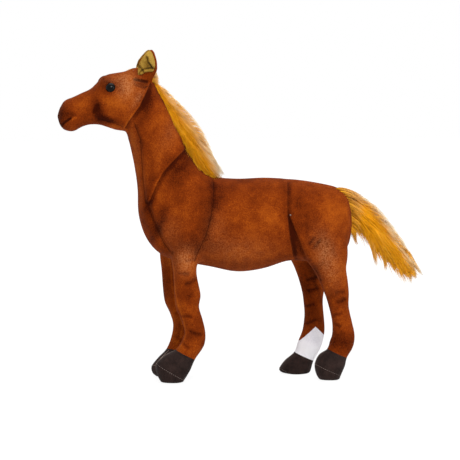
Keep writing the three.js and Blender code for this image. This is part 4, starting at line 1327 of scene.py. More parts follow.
def make_coat():
    """One coat over all the filling, worked, and cut along the edges of its pieces."""
    obj = new_object("coat", *joined(coat_forms()))
    remesh = obj.modifiers.new("even", "REMESH")
    remesh.mode = "VOXEL"
    remesh.voxel_size = sizes().weave
    finished(obj)
    largest_piece(obj)
    co = smoothed(obj.data, places(obj.data), EVEN_ROUNDS)
    set_places(obj.data, smoothed(obj.data, co, ROOT_ROUNDS, keep=False, weight=leg_roots(co)))
    puffed(obj, seam_hold(places(obj.data)))
    divide = obj.modifiers.new("finer", "SUBSURF")
    divide.levels = divide.render_levels = 1
    finished(obj)
    co, n = places(obj.data), normals(obj.data)
    set_places(obj.data, co + n * work_in(co, n)[:, None])
    bm = bmesh.new()
    bm.from_mesh(obj.data)
    plane_cut(bm, HEAD_SEAM, SEAM_AHEAD, lambda c: c.z > HEAD_FROM)
    behind = HEAD_SEAM - SEAM_AHEAD * (NECK_BEND + SEAM_ROOM)
    plane_cut(bm, behind, SEAM_AHEAD, lambda c: c.z > NECK_FROM)
    plane_cut(bm, Vector((0, 0, LEG_CUT)), Vector((0, 0, -1)))
    for leg in leg_names():
        plane_cut(bm, *turned_plane(*leg), lambda c: c.z < FOOT_TOP and foot_at(c.x, c.y) == leg)
    for plane in sock_planes():
        plane_cut(bm, *plane, lambda c: c.z < SOCK_TOP and foot_at(c.x, c.y) == ("hind", "right"))
    bm.to_mesh(obj.data)
    bm.free()
    return obj


def parted(mesh):
    """Which piece each face of the coat belongs to."""
    centres = read(mesh.polygons, "center", 3)
    forward = beyond(centres, HEAD_SEAM, SEAM_AHEAD)
    names = np.full(len(centres), "coat_trunk", dtype=object)
    names[(forward > -(NECK_BEND + SEAM_ROOM)) & (centres[:, 2] > NECK_FROM)] = "coat_neck"
    names[(forward > 0) & (centres[:, 2] > HEAD_FROM)] = "coat_head"
    low = centres[:, 2] < LEG_CUT
    group = connected(mesh, low)
    for label in np.unique(group[low]):
        faces = (group == label) & low
        if centres[faces, 2].min() < FOOT_TOP - 0.01:
            kind, side = foot_at(*centres[faces].mean(0)[:2])
            names[faces] = f"coat_{kind}_{side}"
            names[faces & (beyond(centres, *turned_plane(kind, side)) > 0)] = "cut_away"
    sock = names == "coat_hind_right"
    for plane in sock_planes():
        sock &= beyond(centres, *plane) > 0
    names[sock] = "sock_right"
    return names


def connected(mesh, wanted):
    """A label for each connected patch of the wanted faces."""
    label = np.arange(len(mesh.vertices))
    corners = [np.array(p.vertices) for p, w in zip(mesh.polygons, wanted) if w]
    pairs = np.concatenate([np.stack([c, np.roll(c, 1)], 1) for c in corners])
    while True:
        low = np.minimum(label[pairs[:, 0]], label[pairs[:, 1]])
        new = label.copy()
        np.minimum.at(new, pairs[:, 0], low)
        np.minimum.at(new, pairs[:, 1], low)
        new = new[new]
        if (new == label).all():
            break
        label = new
    return np.array([label[p.vertices[0]] for p in mesh.polygons])


def patch(spots, x, z, across, down, tilt):
    """A soft-edged tilted patch of the sheet, 1 at its middle."""
    t = math.radians(tilt)
    dx, dz = spots[:, 0] - x, spots[:, 1] - z
    u, v = dx * math.cos(t) + dz * math.sin(t), -dx * math.sin(t) + dz * math.cos(t)
    return np.exp(-((u / across) ** 2) - (v / down) ** 2)


def patches(spots, rows):
    """The sum of the patches in a table."""
    total = np.zeros(len(spots))
    for (x, z), (across, down), tilt, amount in rows:
        total += amount * patch(spots, x, z, across, down, tilt)
    return total


def mark_coat(mesh):
    """Stores for the velour where seams lie, its airbrushed tones with painted shade and light, painted
    shade in seams, creases and the open dart, and painted sheen.
    """
    co, n = places(mesh), normals(mesh)
    spots, side = near_side(co), facing_side(n)
    nearest, signed, strength = np.full(len(co), 1e9), np.zeros(len(co)), np.zeros(len(co))
    # Airbrushed tones with painted shade and painted light
    shade = patches(spots, SHADES)
    # Seams: a painted shade line in each groove, painted shade beside it, a painted highlight on the edge
    # that stands over and painted shadow below that edge
    for line, _, _, over in SEAMS:
        distance, share = along_line(spots, line)
        away = np.abs(distance)
        closer = away < nearest
        nearest = np.where(closer, away, nearest)
        signed = np.where(closer, distance, signed)
        seam_shading = faded(share, 0, 0.02) * side * (1 - step_up(away, 2.0, 3.5))
        strength = np.where(closer, seam_shading, strength)
        ends = faded(share, 0, 0.05)
        shade -= 0.35 * bump(distance, 3.5) * ends * side
        upper = distance * np.sign(over or 1.0)
        shade += 0.8 * abs(over) * bump(upper - 1.5, 1.1) * ends * side
        shade -= 0.6 * abs(over) * bump(upper + 2.0, 2.4) * ends * side
    # Painted highlights and painted shade along lines
    for line, amount, wide in PAINTED_LIGHT_LINES:
        distance, share = along_line(spots, line)
        facing = step_up(np.abs(n[:, 1]), 0.0, 0.25)
        shade += amount * bump(distance, wide) * faded(share, 0, 0.08) * facing
    # Painted shade in the open dart, deepest along the flank seam
    flank, _ = along_line(spots, FLANK)
    shade -= (0.75 + 0.6 * bump(flank, 4.0)) * open_dart(spots) * side
    # Painted shade in the creases
    for line, *_ in CREASES:
        distance, share = along_line(spots, line)
        shade -= 0.6 * bump(distance, 1.8) * faded(share, -0.01, 0.2) * side
    set_number(mesh, "seam", np.clip(signed, -5, 5))
    set_number(mesh, "stitched", strength)
    set_number(mesh, "shade", np.clip(shade, -1.5, 1.0))
    # Painted sheen where the pile catches the light
    set_number(mesh, "frost", np.clip(patches(spots, PAINTED_SHEENS), 0.0, 1.0))


# The nodes that the pieces of the coat stand for, apart from the legs, and the bodies they ride
REPLACED = {
    "coat_trunk": [
        "chest_gusset", "belly_gusset", "shoulder_left", "shoulder_right", "barrel_left",
        "barrel_right", "rump_left", "rump_right", "stuffing_trunk",
    ],
    "coat_neck": ["throat_gusset", "neck_left", "neck_right"],
    "coat_head": ["head_left", "head_right", "jaw_gusset", "stuffing_head"],
    "sock_right": ["sock_hind_right"],
}
COAT_BODIES = {"coat_head": "head", "coat_trunk": "trunk", "sock_right": "hindleg_right"}


class PLUSHHORSE_OT_coat(bpy.types.Operator):
    """Stuffs and sews the velour coat"""

    bl_idname = "plush_horse.coat"
    bl_label = "Coat"

    def execute(self, context):
        obj = make_coat()
        mark_coat(obj.data)
        names = parted(obj.data)
        turned = normals(obj.data)
        for name in sorted(set(names) - {"cut_away"}):
            finish_coat_piece(piece_of(obj.data, np.nonzero(names == name)[0], name, turned))
        start = SHEET_MIDDLE + Vector(view_axes()[2]) * VIEW_DISTANCE
        aim = Vector(from_sheet(*THREAD_SPOT, 0.0)) - start
        hit, spot, *_ = obj.ray_cast(start, aim.normalized())
        bpy.data.objects.remove(obj)
        if not hit:
            raise RuntimeError("the loose thread finds no coat")
        thread = new_object("thread_end", *ball(spot, (0.0009, 0.0006, 0.0009), 8))
        thread.data.materials.append(material_named("taupe_thread"))
        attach(thread, "trunk")
        return {"FINISHED"}


def finish_coat_piece(piece):
    """Gives a piece of the coat its velour, its body or bend, and the nodes it stands for."""
    name = piece.name
    slot = "white_velour" if name == "sock_right" else "chestnut_velour"
    piece.data.materials.append(material_named(slot))
    nodes = REPLACED.get(name)
    if name == "coat_neck":
        bent_at_neck(piece)
    elif name in COAT_BODIES:
        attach(piece, COAT_BODIES[name])
    else:
        kind, side = name.split("_")[1:]
        nodes = [f"leg_{kind}_{side}", f"stuffing_{kind}_{side}"]
        start, end = ((LEGS[kind]["place"][0], leg_y(side), z) for z in LEG_BEND)
        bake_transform(piece, "trunk", f"{kind}leg_{side}", start=start, end=end)
    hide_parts(*nodes)


class PLUSHHORSE_OT_hooves(bpy.types.Operator):
    """Makes the suede hooves and soles"""

    bl_idname = "plush_horse.hooves"
    bl_label = "Hooves"

    def execute(self, context):
        for kind, side in leg_names():
            leg = leg_frame(kind, side)
            form = moved(stuffed(leg["sections"], leg["tips"], 56, HOOF_STEPS), leg["matrix"])
            top, down = hoof_plane(leg, HOOF_ROW, -HOOF_INSIDE)
            sole, sole_down = hoof_plane(leg, SOLE_ROW)
            for part, cuts in (
                ("hoof", [(top, -down), (sole, sole_down)]),
                ("sole", [(sole, -sole_down)]),
            ):
                obj = new_object(f"suede_{part}_{kind}_{side}", *form)
                cut_closed(obj.data, cuts)
                co = places(obj.data)
                if part == "hoof":
                    co = tucked(co, *hoof_plane(leg, HOOF_ROW))
                co = foot_turned(co, kind, side)
                co[:, 2] = rested(co[:, 2])
                set_places(obj.data, co)
                for polygon in obj.data.polygons:
                    polygon.use_smooth = len(polygon.vertices) <= 4
                placed(obj, "dark_suede", f"{kind}leg_{side}", f"{part}_{kind}_{side}")
        return {"FINISHED"}


def cut_closed(mesh, cuts):
    """Cuts away what lies beyond each plane, and closes the form again."""
    bm = bmesh.new()
    bm.from_mesh(mesh)
    for point, away in cuts:
        bmesh.ops.bisect_plane(
            bm, geom=bm.faces[:] + bm.edges[:] + bm.verts[:], plane_co=point,
            plane_no=away, clear_outer=True, dist=1e-6,
        )
        bmesh.ops.contextual_create(bm, geom=[e for e in bm.edges if e.is_boundary])
    bmesh.ops.recalc_face_normals(bm, faces=bm.faces[:])
    bm.to_mesh(mesh)
    bm.free()


def rested(heights):
    """Heights pressed onto the floor with a soft bend at the edge of the contact."""
    pressed = SOLE_BEND * np.logaddexp(0, (heights - SOLE_LIFT) / SOLE_BEND)
    return SOLE_LIFT + pressed - SOLE_BEND * 0.1


def tucked(co, point, down):
    """Draws in what lies above the seam, so a hoof's rim is inside its leg."""
    height = beyond(co, point, down)
    outward = co - np.array(point) - height[:, None] * np.array(down)
    return co - RIM_TUCK * outward * step_up(-height, 0.0, 0.0012)[:, None]


def on_foot(kind, side, row, angles, out=0.0):
    """Places round a row of a hoof, a distance out from its suede."""
    leg = leg_frame(kind, side)
    points = on_ring(rings_between(leg["sections"], HOOF_STEPS)[row], angles, out)
    return foot_turned(moved((points, None), leg["matrix"])[0], kind, side)


def as_instance(tree, thing):
    """The geometry of an object as an instance."""
    wires = {"Object": thing, "As Instance": True}
    return node(tree, "GeometryNodeObjectInfo", wires).outputs["Geometry"]


def covered(tree, geometry, material, end):
    """Makes instances real, gives them their material and ends the tree with them."""
    real = node(tree, "GeometryNodeRealizeInstances", {0: geometry})
    cover = node(tree, "GeometryNodeSetMaterial", {"Geometry": real, "Material": material})
    wire(tree, cover, end.inputs[0])
    return tree


def stitch_tree():
    """Lays stitches at an even pitch along a line."""
    inputs = {"Stitch": "Object", "Pitch": "Float", "Material": "Material"}
    tree, sockets, end = geometry_tree("stitches", inputs)
    line = node(tree, "GeometryNodeMeshToCurve", {"Mesh": sockets["Geometry"]})
    wires = {"Curve": line, "Length": sockets["Pitch"]}
    even = node(tree, "GeometryNodeResampleCurve", wires, mode="LENGTH")
    wires = {0: node(tree, "GeometryNodeInputTangent"), 1: stored(tree, "FLOAT_VECTOR", "out")}
    turn = node(tree, "FunctionNodeAxesToRotation", wires, primary_axis="X", secondary_axis="Z")
    wires = {"Points": even, "Instance": as_instance(tree, sockets["Stitch"]), "Rotation": turn}
    laid = node(tree, "GeometryNodeInstanceOnPoints", wires)
    return covered(tree, laid, sockets["Material"], end)


class PLUSHHORSE_OT_stitches(bpy.types.Operator):
    """Sews the stitched sole seams and toe seams of the hooves"""

    bl_idname = "plush_horse.stitches"
    bl_label = "Stitches"

    def execute(self, context):
        stitch = new_object("stitch", *ball((0, 0, 0), STITCH_SIZE, 4))
        tree = stitch_tree()
        thread = material_named("taupe_thread")
        for leg in leg_names():
            kind, side = leg
            count = len(LEGS[kind]["rows"])
            rows = range((count + HOOF_ROW) * HOOF_STEPS + 2, (count + SOLE_ROW) * HOOF_STEPS)
            angles = np.linspace(-np.pi, np.pi, 96, endpoint=False)
            ring = on_foot(*leg, rows[-1] + 1, angles, 0.0001)
            middle = ring.mean(0)
            ring = ring[ring[:, 2] > STITCHED_FROM]
            ring[:, 2] = rested(ring[:, 2])
            toe, heel = (
                np.concatenate([on_foot(*leg, row, np.array([angle])) for row in rows])
                for angle in (0.0, np.pi)
            )
            for name, points, inner, pitch in (
                ("stitches_sole", ring, middle, STITCH_PITCH),
                ("seam_toe", toe, heel, STITCH_SIZE[0]),
            ):
                edges = [(k, k + 1) for k in range(len(points) - 1)]
                obj = new_object(f"{name}_{kind}_{side}", points, [], edges)
                set_vector(obj.data, "out", points - inner)
                grown(obj, tree, {"Stitch": stitch, "Pitch": pitch, "Material": thread})
                smooth_shaded(obj)
                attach(obj, f"{kind}leg_{side}")
        bpy.data.objects.remove(stitch)
        return {"FINISHED"}


def ear_matrix(side):
    """The ear's own frame: width along X, height along Z, the lining towards -Y."""
    way = 1 if side == "left" else -1
    x, z = head_point(*EAR_PLACE)
    turn = Matrix.Rotation(math.radians(EAR_BACK[side]), 4, "Y")
    turn = turn @ Matrix.Rotation(math.radians(way * EAR_LEAN), 4, "X")
    turn = turn @ Matrix.Rotation(math.radians(-way * EAR_TURN), 4, "Z")
    return Matrix.Translation((x, -way * EAR_SPREAD, z)) @ turn @ Matrix.Diagonal((1, way, 1, 1))


def leaf(low, high, wide, tall, shift=0.0, foot=([0.0], [0.0]), rows=48, around=72):
    """A closed cupped leaf between two depths, down to its foot line."""
    t = np.linspace(0, 1, rows)
    start = np.mean(foot[1]) / EAR_HEIGHT
    v = start + (1 - start) * t
    at, *columns = np.array(EAR_OUTLINE).T
    edges, lean, cup = (np.interp(v, at, column) for column in columns)
    angles = 2 * np.pi * np.arange(around) / around
    c, s = np.cos(angles), np.sin(angles)
    s = np.sign(s) * np.abs(s) ** 0.45
    points = []
    for k in range(rows):
        x = (lean[k] + shift + c * edges[k] * wide) * EAR_WIDTH / 2
        y = -EAR_CUP * cup[k] * np.clip(2 * x / EAR_WIDTH, -1, 1) ** 2
        y = y + (low + high) / 2 + s * (high - low) / 2
        bottom = np.interp(x, *foot)
        points.append(np.stack([x, y, bottom + t[k] * (tall * EAR_HEIGHT - bottom)], 1))
    faces = ring_faces(rows, around)
    faces.append(tuple(range(around))[::-1])
    faces.append(tuple((rows - 1) * around + i for i in range(around)))
    return facing_out(np.concatenate(points), faces)


def from_ear_line(points, line):
    """Distances in mm from a line of the ear's frame."""
    step = SHEET_STEP * 1000
    return along_line(points[:, [0, 2]] * 1000 / step, np.array(line) / step)[0]


def above_flap(points):
    """How far above the lining's flap points are, in mm."""
    return points[:, 2] * 1000 - np.interp(points[:, 0] * 1000, *EAR_FLAP)


def ear_folds(points):
    """How far the ear stands out along its folds: a flap over a deep fold, a hem band, a slit."""
    depth = np.zeros(len(points))
    for line, deep, wide in EAR_FOLDS:
        depth -= deep * bump(from_ear_line(points, line), wide)
    flap = above_flap(points)
    depth += 1.0 * step_up(flap, -0.3, 1.2) * (1 - step_up(flap, 4.0, 9.0))
    depth += 1.1 * bump(from_ear_line(points, EAR_BAND), 1.5)
    return depth * 0.001


def ear_painted_shade(points):
    """Painted shade and light of the lining: painted shade ahead of its fold, in its creases and beside its
    band, painted light on its flap and band.
    """
    shade = 0.45 * step_up(above_flap(points), -0.5, 0.8) - 0.2
    for line, _, wide in EAR_FOLDS:
        shade -= 0.9 * bump(from_ear_line(points, line), wide)
    band = from_ear_line(points, EAR_BAND)
    shade += 0.45 * bump(band, 1.3) - 0.7 * bump(band - 2.4, 0.9)
    return shade


class PLUSHHORSE_OT_ears(bpy.types.Operator):
    """Sews the cupped ears and their suede linings"""

    bl_idname = "plush_horse.ears"
    bl_label = "Ears"

    def execute(self, context):
        for side in ("left", "right"):
            outer = leaf(0.0, 0.0024, 1.0, 1.0, foot=([0.0], [-0.0045]))
            lining = leaf(-0.0013, -0.0003, 0.92, 0.99, -0.20, EAR_FOOT)
            for name, (points, faces), slot, node_name in (
                ("outer", outer, "chestnut_velour", f"ear_{side}"),
                ("lining", lining, "olive_suede", f"ear_lining_{side}"),
            ):
                # The lining's painted shade and light; the outer cloth a little darker all over
                tone = ear_painted_shade(points) if name == "lining" else np.full(len(points), -0.15)
                points[:, 1] -= ear_folds(points)
                form = moved((points, faces), ear_matrix(side))
                obj = new_object(f"ear_{name}_{side}_cloth", *form)
                if side == "right":
                    obj.data.flip_normals()
                smooth_shaded(obj)
                set_number(obj.data, "shade", tone)
                placed(obj, slot, f"ear_{side}", node_name)
        return {"FINISHED"}


def on_head(row, angle):
    """A place on the head's form, and the way it faces, as in the part."""
    rings = rings_between(head_sections(), 10)

    def at(k, turn):
        return Vector(on_ring(rings[k], np.array([turn]))[0])

    k, a, step = round(row * 10), math.radians(angle), math.radians(3)
    point = at(k, a)
    facing = (at(k - 1, a) - at(k + 1, a)).cross(at(k, a + step) - at(k, a - step)).normalized()
    return point, -facing if facing.y * point.y < 0 else facing


class PLUSHHORSE_OT_eyes(bpy.types.Operator):
    """Sets the domed safety eyes into the head"""

    bl_idname = "plush_horse.eyes"
    bl_label = "Eyes"

    def execute(self, context):
        dome = [math.pi / 2 * k / 14 for k in range(15)]
        outline = [(EYE_RADIUS * math.sin(a), EYE_DOME * math.cos(a)) for a in dome]
        outline += [(EYE_RADIUS * 1.01, -0.0004), (EYE_RADIUS * 0.97, -0.0009)]
        outline += [(EYE_RADIUS * 0.8, -0.0011), (0.0016, -0.0011)]
        outline += [(0.0016 if k % 2 else 0.0013, -0.0020 - 0.0008 * k) for k in range(8)]
        outline.append((0.0, -0.0080))
        for side, way in (("left", -1), ("right", 1)):
            point, facing = on_head(EYE_ROW, way * EYE_ANGLE)
            turn = facing.to_track_quat("Z", "Y").to_matrix().to_4x4()
            place = Matrix.Translation(point + facing * EYE_SEAT) @ turn
            obj = new_object(f"eye_{side}_moulding", *moved(lathed(outline, 40), place))
            smooth_shaded(obj)
            placed(obj, "eye_plastic", "head", f"eye_{side}")
            low, high = (Vector(corner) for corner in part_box(f"eye_washer_{side}"))
            reach = (high - low) / 2
            thick, wide = min(reach), max(reach)
            place = Matrix.Translation((low + high) / 2) @ turn
            disc = [(0.0, thick * 0.4), (wide * 0.8, thick * 0.4), (wide * 0.86, 0.0)]
            disc += [(wide * 0.8, -thick * 0.4), (0.0, -thick * 0.4)]
            obj = new_object(f"washer_{side}", *moved(lathed(disc, 32), place))
            placed(obj, "washer_plastic", "head", f"eye_washer_{side}")
        return {"FINISHED"}


def lathed(outline, around):
    """A closed form turned about Z from an outline that starts and ends on the axis."""
    points = [(0.0, 0.0, outline[0][1])]
    for radius, height in outline[1:-1]:
        for j in range(around):
            a = 2 * math.pi * j / around
            points.append((radius * math.cos(a), radius * math.sin(a), height))
    points.append((0.0, 0.0, outline[-1][1]))
    last = len(points) - 1
    rings = len(outline) - 2
    faces = []
    for j in range(around):
        k = (j + 1) % around
        faces.append((0, 1 + j, 1 + k))
        faces.append((last, 1 + (rings - 1) * around + k, 1 + (rings - 1) * around + j))
        for r in range(rings - 1):
            low = 1 + r * around
            faces.append((low + j, low + around + j, low + around + k, low + k))
    return facing_out(np.array(points), faces)


def geometry_tree(name, inputs):
    """A Geometry Nodes tree with named inputs, their sockets in it, and its output node."""
    tree = bpy.data.node_groups.new(name, "GeometryNodeTree")
    for label, kind in {"Geometry": "Geometry", **inputs}.items():
        tree.interface.new_socket(label, in_out="INPUT", socket_type=f"NodeSocket{kind}")
    tree.interface.new_socket("Geometry", in_out="OUTPUT", socket_type="NodeSocketGeometry")
    return tree, tree.nodes.new("NodeGroupInput").outputs, tree.nodes.new("NodeGroupOutput")


def grown(obj, tree, values):
    """The object's mesh as the tree makes it, with the named inputs set."""
    modifier = obj.modifiers.new(tree.name, "NODES")
    modifier.node_group = tree
    for item in tree.interface.items_tree:
        if item.in_out == "INPUT" and item.name in values:
            modifier[item.identifier] = values[item.name]
    return finished(obj)


def chance(tree, kind, low, high, seed, shift):
    """A random value for each element, from its own draw of the seed."""
    first, output = {"FLOAT_VECTOR": (0, 0), "FLOAT": (2, 1), "INT": (4, 2)}[kind]
    wires = {8: sums(tree, "ADD", seed, shift)}
    if low is not None:
        wires |= {first: low, first + 1: high}
    return node(tree, "FunctionNodeRandomValue", wires, data_type=kind).outputs[output]


def stored(tree, kind, name):
    return node(tree, "GeometryNodeInputNamedAttribute", {0: name}, data_type=kind).outputs[0]


def vectors(tree, operation, a, b):
    wires = {0: a, 3 if operation == "SCALE" else 1: b}
    return node(tree, "ShaderNodeVectorMath", wires, operation=operation).outputs[0]


def root_noise(tree, scale):
    """Noise at the place where a strand grows."""
    wires = {"Vector": node(tree, "GeometryNodeInputPosition"), "Scale": scale}
    return node(tree, "ShaderNodeTexNoise", wires)


def mixed_value(tree, share, a, b):
    return sums(tree, "MULTIPLY_ADD", sums(tree, "SUBTRACT", b, a), share, a)


def pile_tree():
    """Grows strands on a core: combed, uneven, some hanging under their own weight."""
    inputs = {f"Strand {letter}": "Object" for letter in "ABC"}
    inputs |= {"Strands per square metre": "Float", "Unruliness": "Float", "Locks": "Float"}
    inputs |= {"Seed": "Int", "Material": "Material"}
    tree, sockets, end = geometry_tree("long_pile", inputs)
    seed, core = sockets["Seed"], sockets["Geometry"]
    growth = stored(tree, "FLOAT", "growth")
    growth = sums(tree, "MULTIPLY", growth, sockets["Strands per square metre"])
    wires = {"Mesh": core, "Density": growth, "Seed": seed}
    spread = node(tree, "GeometryNodeDistributePointsOnFaces", wires)
    kinds = node(tree, "GeometryNodeJoinGeometry")
    for letter in "ABC":
        wire(tree, as_instance(tree, sockets[f"Strand {letter}"]), kinds.inputs[0])
    stray = chance(tree, "FLOAT_VECTOR", (-1.0, -1.0, -1.0), (1.0, 1.0, 1.0), seed, 1)
    stray = vectors(tree, "SCALE", stray, sockets["Unruliness"])
    comb = vectors(tree, "ADD", stored(tree, "FLOAT_VECTOR", "comb"), stray)
    rare = sums(tree, "POWER", chance(tree, "FLOAT", 0.0, 1.0, seed, 2), 9.0)
    drop = sums(tree, "MULTIPLY", rare, stored(tree, "FLOAT", "hang"))
    comb = vectors(tree, "ADD", comb, vectors(tree, "SCALE", (0.0, 0.0, -1.0), drop))
    lean = vectors(tree, "SUBTRACT", root_noise(tree, 170.0).outputs["Color"], (0.5, 0.5, 0.5))
    comb = vectors(tree, "ADD", comb, vectors(tree, "SCALE", lean, sockets["Locks"]))
    wires = {0: comb, 1: spread.outputs["Normal"]}
    turn = node(tree, "FunctionNodeAxesToRotation", wires, primary_axis="Z", secondary_axis="X")
    uneven = chance(tree, "FLOAT", 0.65, 1.15, seed, 3)
    wires = {
        "Points": spread.outputs["Points"],
        "Instance": kinds,
        "Pick Instance": True,
        "Instance Index": chance(tree, "INT", None, None, seed, 4),
        "Rotation": turn,
        "Scale": sums(tree, "MULTIPLY", stored(tree, "FLOAT", "reach"), uneven),
    }
    laid = node(tree, "GeometryNodeInstanceOnPoints", wires)
    shared = ranged(tree, root_noise(tree, 260.0).outputs["Fac"], 0.3, 0.7)
    tone = mixed_value(tree, 0.35, shared, chance(tree, "FLOAT", 0.0, 1.0, seed, 5))
    wires = {"Geometry": laid, "Name": "tone", "Value": tone}
    tint = node(
        tree, "GeometryNodeStoreNamedAttribute", wires, data_type="FLOAT", domain="INSTANCE"
    )
    both = node(tree, "GeometryNodeJoinGeometry", {0: tint})
    wire(tree, core, both.inputs[0])
    return covered(tree, both, sockets["Material"], end)


def strand(name, bend, wave, width, sides=3, steps=5):
    """One tapering strand, one metre long, that bends back onto the surface it grows on."""
    points, along = [], []
    for k in range(steps):
        t = k / steps
        radius = width / 2 * (1 - t**1.8) * (0.55 + 0.45 * min(1.0, t * 4))
        for j in range(sides):
            a = 2 * math.pi * j / sides
            x = -bend * t * t + 0.6 * radius * math.cos(a)
            y = wave * math.sin(2.2 * t) * t + radius * math.sin(a)
            points.append((x, y, t))
            along.append(t)
    points.append((-bend, wave * math.sin(2.2), 1.0))
    along.append(1.0)
    obj = new_object(name, *pointed(np.array(points), sides))
    smooth_shaded(obj)
    set_number(obj.data, "along", along)
    return obj


def pointed(points, sides):
    """The form of rings of points that end in one point, closed at its root."""
    rings = len(points) // sides
    low = (rings - 1) * sides
    faces = ring_faces(rings, sides)
    faces += [(low + j, low + (j + 1) % sides, len(points) - 1) for j in range(sides)]
    faces.append(tuple(range(sides))[::-1])
    return facing_out(points, faces)


def strand_kinds():
    return [strand(f"strand_{k}", *kind) for k, kind in enumerate(STRANDS)]


def ways_along(middle):
    """The unit direction of a line of points at each of them."""
    last = len(middle) - 1
    ways = [middle[min(i + 1, last)] - middle[max(i - 1, 0)] for i in range(last + 1)]
    return [way / np.linalg.norm(way) for way in ways]


def mane_rows():
    """Middle, way along, way out, stand and width of the mane's sections along the crest."""
    middle = [neck_point(r[0], r[1]) for r in MANE_ROWS]
    return [
        (m, along, np.array([-along[1], along[0]]), stand * MANE_STAND, width * MANE_WIDTH)
        for m, along, (_, _, stand, width) in zip(middle, ways_along(middle), MANE_ROWS)
    ]


def tail_rows():
    """Middle, way along, way out, depth and width of the tail's sections."""
    root = trunk_point(*TAIL_PLACE)
    middle = [root + np.array([r[0], -r[1]]) * TAIL_LENGTH for r in TAIL_ROWS]
    rows = []
    for m, along, (_, _, slope, depth, width) in zip(middle, ways_along(middle), TAIL_ROWS):
        out = np.array([math.sin(math.radians(slope)), math.cos(math.radians(slope))])
        rows.append((m, along, out, depth * TAIL_DEPTH, width * TAIL_WIDTH))
    return rows


def fur(name, core, rows, strands, lift, count, seed, reach, hang, fair):
    """A core with its strands grown. The comb follows the rows' line and leans off the core."""
    obj = new_object(name, *core)
    smooth_shaded(obj)
    mesh = obj.data
    co, n = places(mesh), normals(mesh)
    middles = np.array([r[0] for r in rows])
    nearest = ((co[:, None, [0, 2]] - middles[None]) ** 2).sum(2).argmin(1)
    flow = np.array([r[1] for r in rows])[nearest]
    flow = np.stack([flow[:, 0], np.zeros(len(co)), flow[:, 1]], 1)
    outer = np.array([r[2] for r in rows])[nearest]
    # Outer strands get pale tips, partly painted light that shines through them
    outward = step_up(n[:, 0] * outer[:, 0] + n[:, 2] * outer[:, 1], 0.45, 1.0)
    t = nearest / (len(rows) - 1)
    set_vector(mesh, "comb", smoothed(mesh, flow, 6, keep=False) + n * lift)
    for label, values in (
        ("reach", np.interp(t, *reach)),
        ("hang", np.interp(t, *hang) * step_up(-n[:, 2], -0.1, 0.6)),
        ("growth", np.ones(len(co))),
        ("along", np.zeros(len(co))),
        ("tone", np.full(len(co), 0.3)),
        ("pale", outward * np.interp(t, *fair)),
    ):
        set_number(mesh, label, values)
    values = {f"Strand {letter}": one for letter, one in zip("ABC", strands)}
    values["Strands per square metre"] = count / sum(p.area for p in mesh.polygons)
    values |= {"Unruliness": UNRULINESS, "Locks": LOCKS, "Seed": seed}
    values["Material"] = material_named("golden_long_pile")
    return grown(obj, bpy.data.node_groups.get("long_pile") or pile_tree(), values)


def sliced(rows, first, last, tips, shrink):
    """A closed core through some of the rows, thinner than the pile it carries."""
    sections = []
    for middle, _, out, depth, width in rows[first:last + 1]:
        reach = out * depth * shrink
        sections.append(section(middle + reach, middle - reach, width * shrink * 2))
    return stuffed(sections, tips, 24, square=2.0)


class PLUSHHORSE_OT_mane(bpy.types.Operator):
    """Grows the mane along the crest, and the forelock"""

    bl_idname = "plush_horse.mane"
    bl_label = "Mane"

    def execute(self, context):
        strands = strand_kinds()
        rows = mane_rows()
        lifted = [(m + o * s * 0.18, a, o, s * 0.36, w * 0.40) for m, a, o, s, w in rows]
        looks = (MANE_REACH, FLAT, MANE_FAIR)
        for k, (first, last, before) in enumerate(((0, 3, 0.010), (3, 6, 0.004))):
            top, low = lifted[first], lifted[last]
            ends = [top[0] - top[1] * before, low[0] + low[1] * 0.004]
            form = sliced(lifted, first, last, ends, 1.0)
            obj = fur(f"mane_{k}", form, rows, strands, 0.46, 5800, 11 + k, *looks)
            bent_at_neck(obj)
            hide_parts("mane")
        self.forelock(strands)
        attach(wisps("poll_wisps", POLL_WISPS, 45), "head")
        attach(wisps("forelock_wisps", FORELOCK_WISPS, 49), "head")
        bent_at_neck(wisps("mane_wisps", MANE_WISPS, 47))
        bpy.data.batch_remove(strands)
        return {"FINISHED"}

    def forelock(self, strands):
        rows, sections = [], []
        for along, up, width in FORELOCK_ROWS:
            top, low = head_point(along, up), head_point(along, up - 0.12)
            rows.append((top, np.array([-0.97, -0.24]), (0.0, 1.0)))
            sections.append(section(top - [0, 0.0012], low, width * FORELOCK_WIDTH * 0.5))
        start = head_point(*FORELOCK_START)
        tips = [start, start + np.array([-FORELOCK_LENGTH * 0.8, -0.001])]
        form = stuffed(sections, tips, 16, 4, square=2.0)
        looks = (FORELOCK_REACH, FLAT, FORELOCK_FAIR)
        obj = fur("forelock_pile", form, rows, strands, 0.12, 420, 31, *looks)
        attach(obj, "head")
        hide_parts("forelock")


class PLUSHHORSE_OT_tail(bpy.types.Operator):
    """Grows the tail on its dock"""

    bl_idname = "plush_horse.tail"
    bl_label = "Tail"

    def execute(self, context):
        strands = strand_kinds()
        low, high = (np.array(corner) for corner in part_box("tail_dock"))
        obj = new_object("dock_cloth", *ball((low + high) / 2, (high - low) * 0.48, 12))
        smooth_shaded(obj)
        set_number(obj.data, "shade", np.full(len(obj.data.vertices), -0.3))
        placed(obj, "chestnut_velour", "dock", "tail_dock")
        rows = tail_rows()
        full = [(m, a, o, d * share, w) for (m, a, o, d, w), share in zip(rows, TAIL_FULLNESS)]
        looks = (TAIL_REACH, TAIL_HANG, TAIL_FAIR)
        for k, (first, last) in enumerate(((0, 3), (2, 5))):
            top, end = rows[first], rows[last]
            ends = [top[0] - top[1] * 0.003, end[0] + end[1] * 0.006]
            form = sliced(full, first, last, ends, TAIL_CORE)
            obj = fur(f"tail_{k}", form, rows, strands, 0.05, 6200, 21 + k, *looks)
            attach(obj, "tail")
            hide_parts("tail")
        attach(wisps("tail_wisps", TAIL_WISPS, 41), "tail")
        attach(wisps("dock_wisps", DOCK_WISPS, 43), "dock")
        bpy.data.batch_remove(strands)
        return {"FINISHED"}


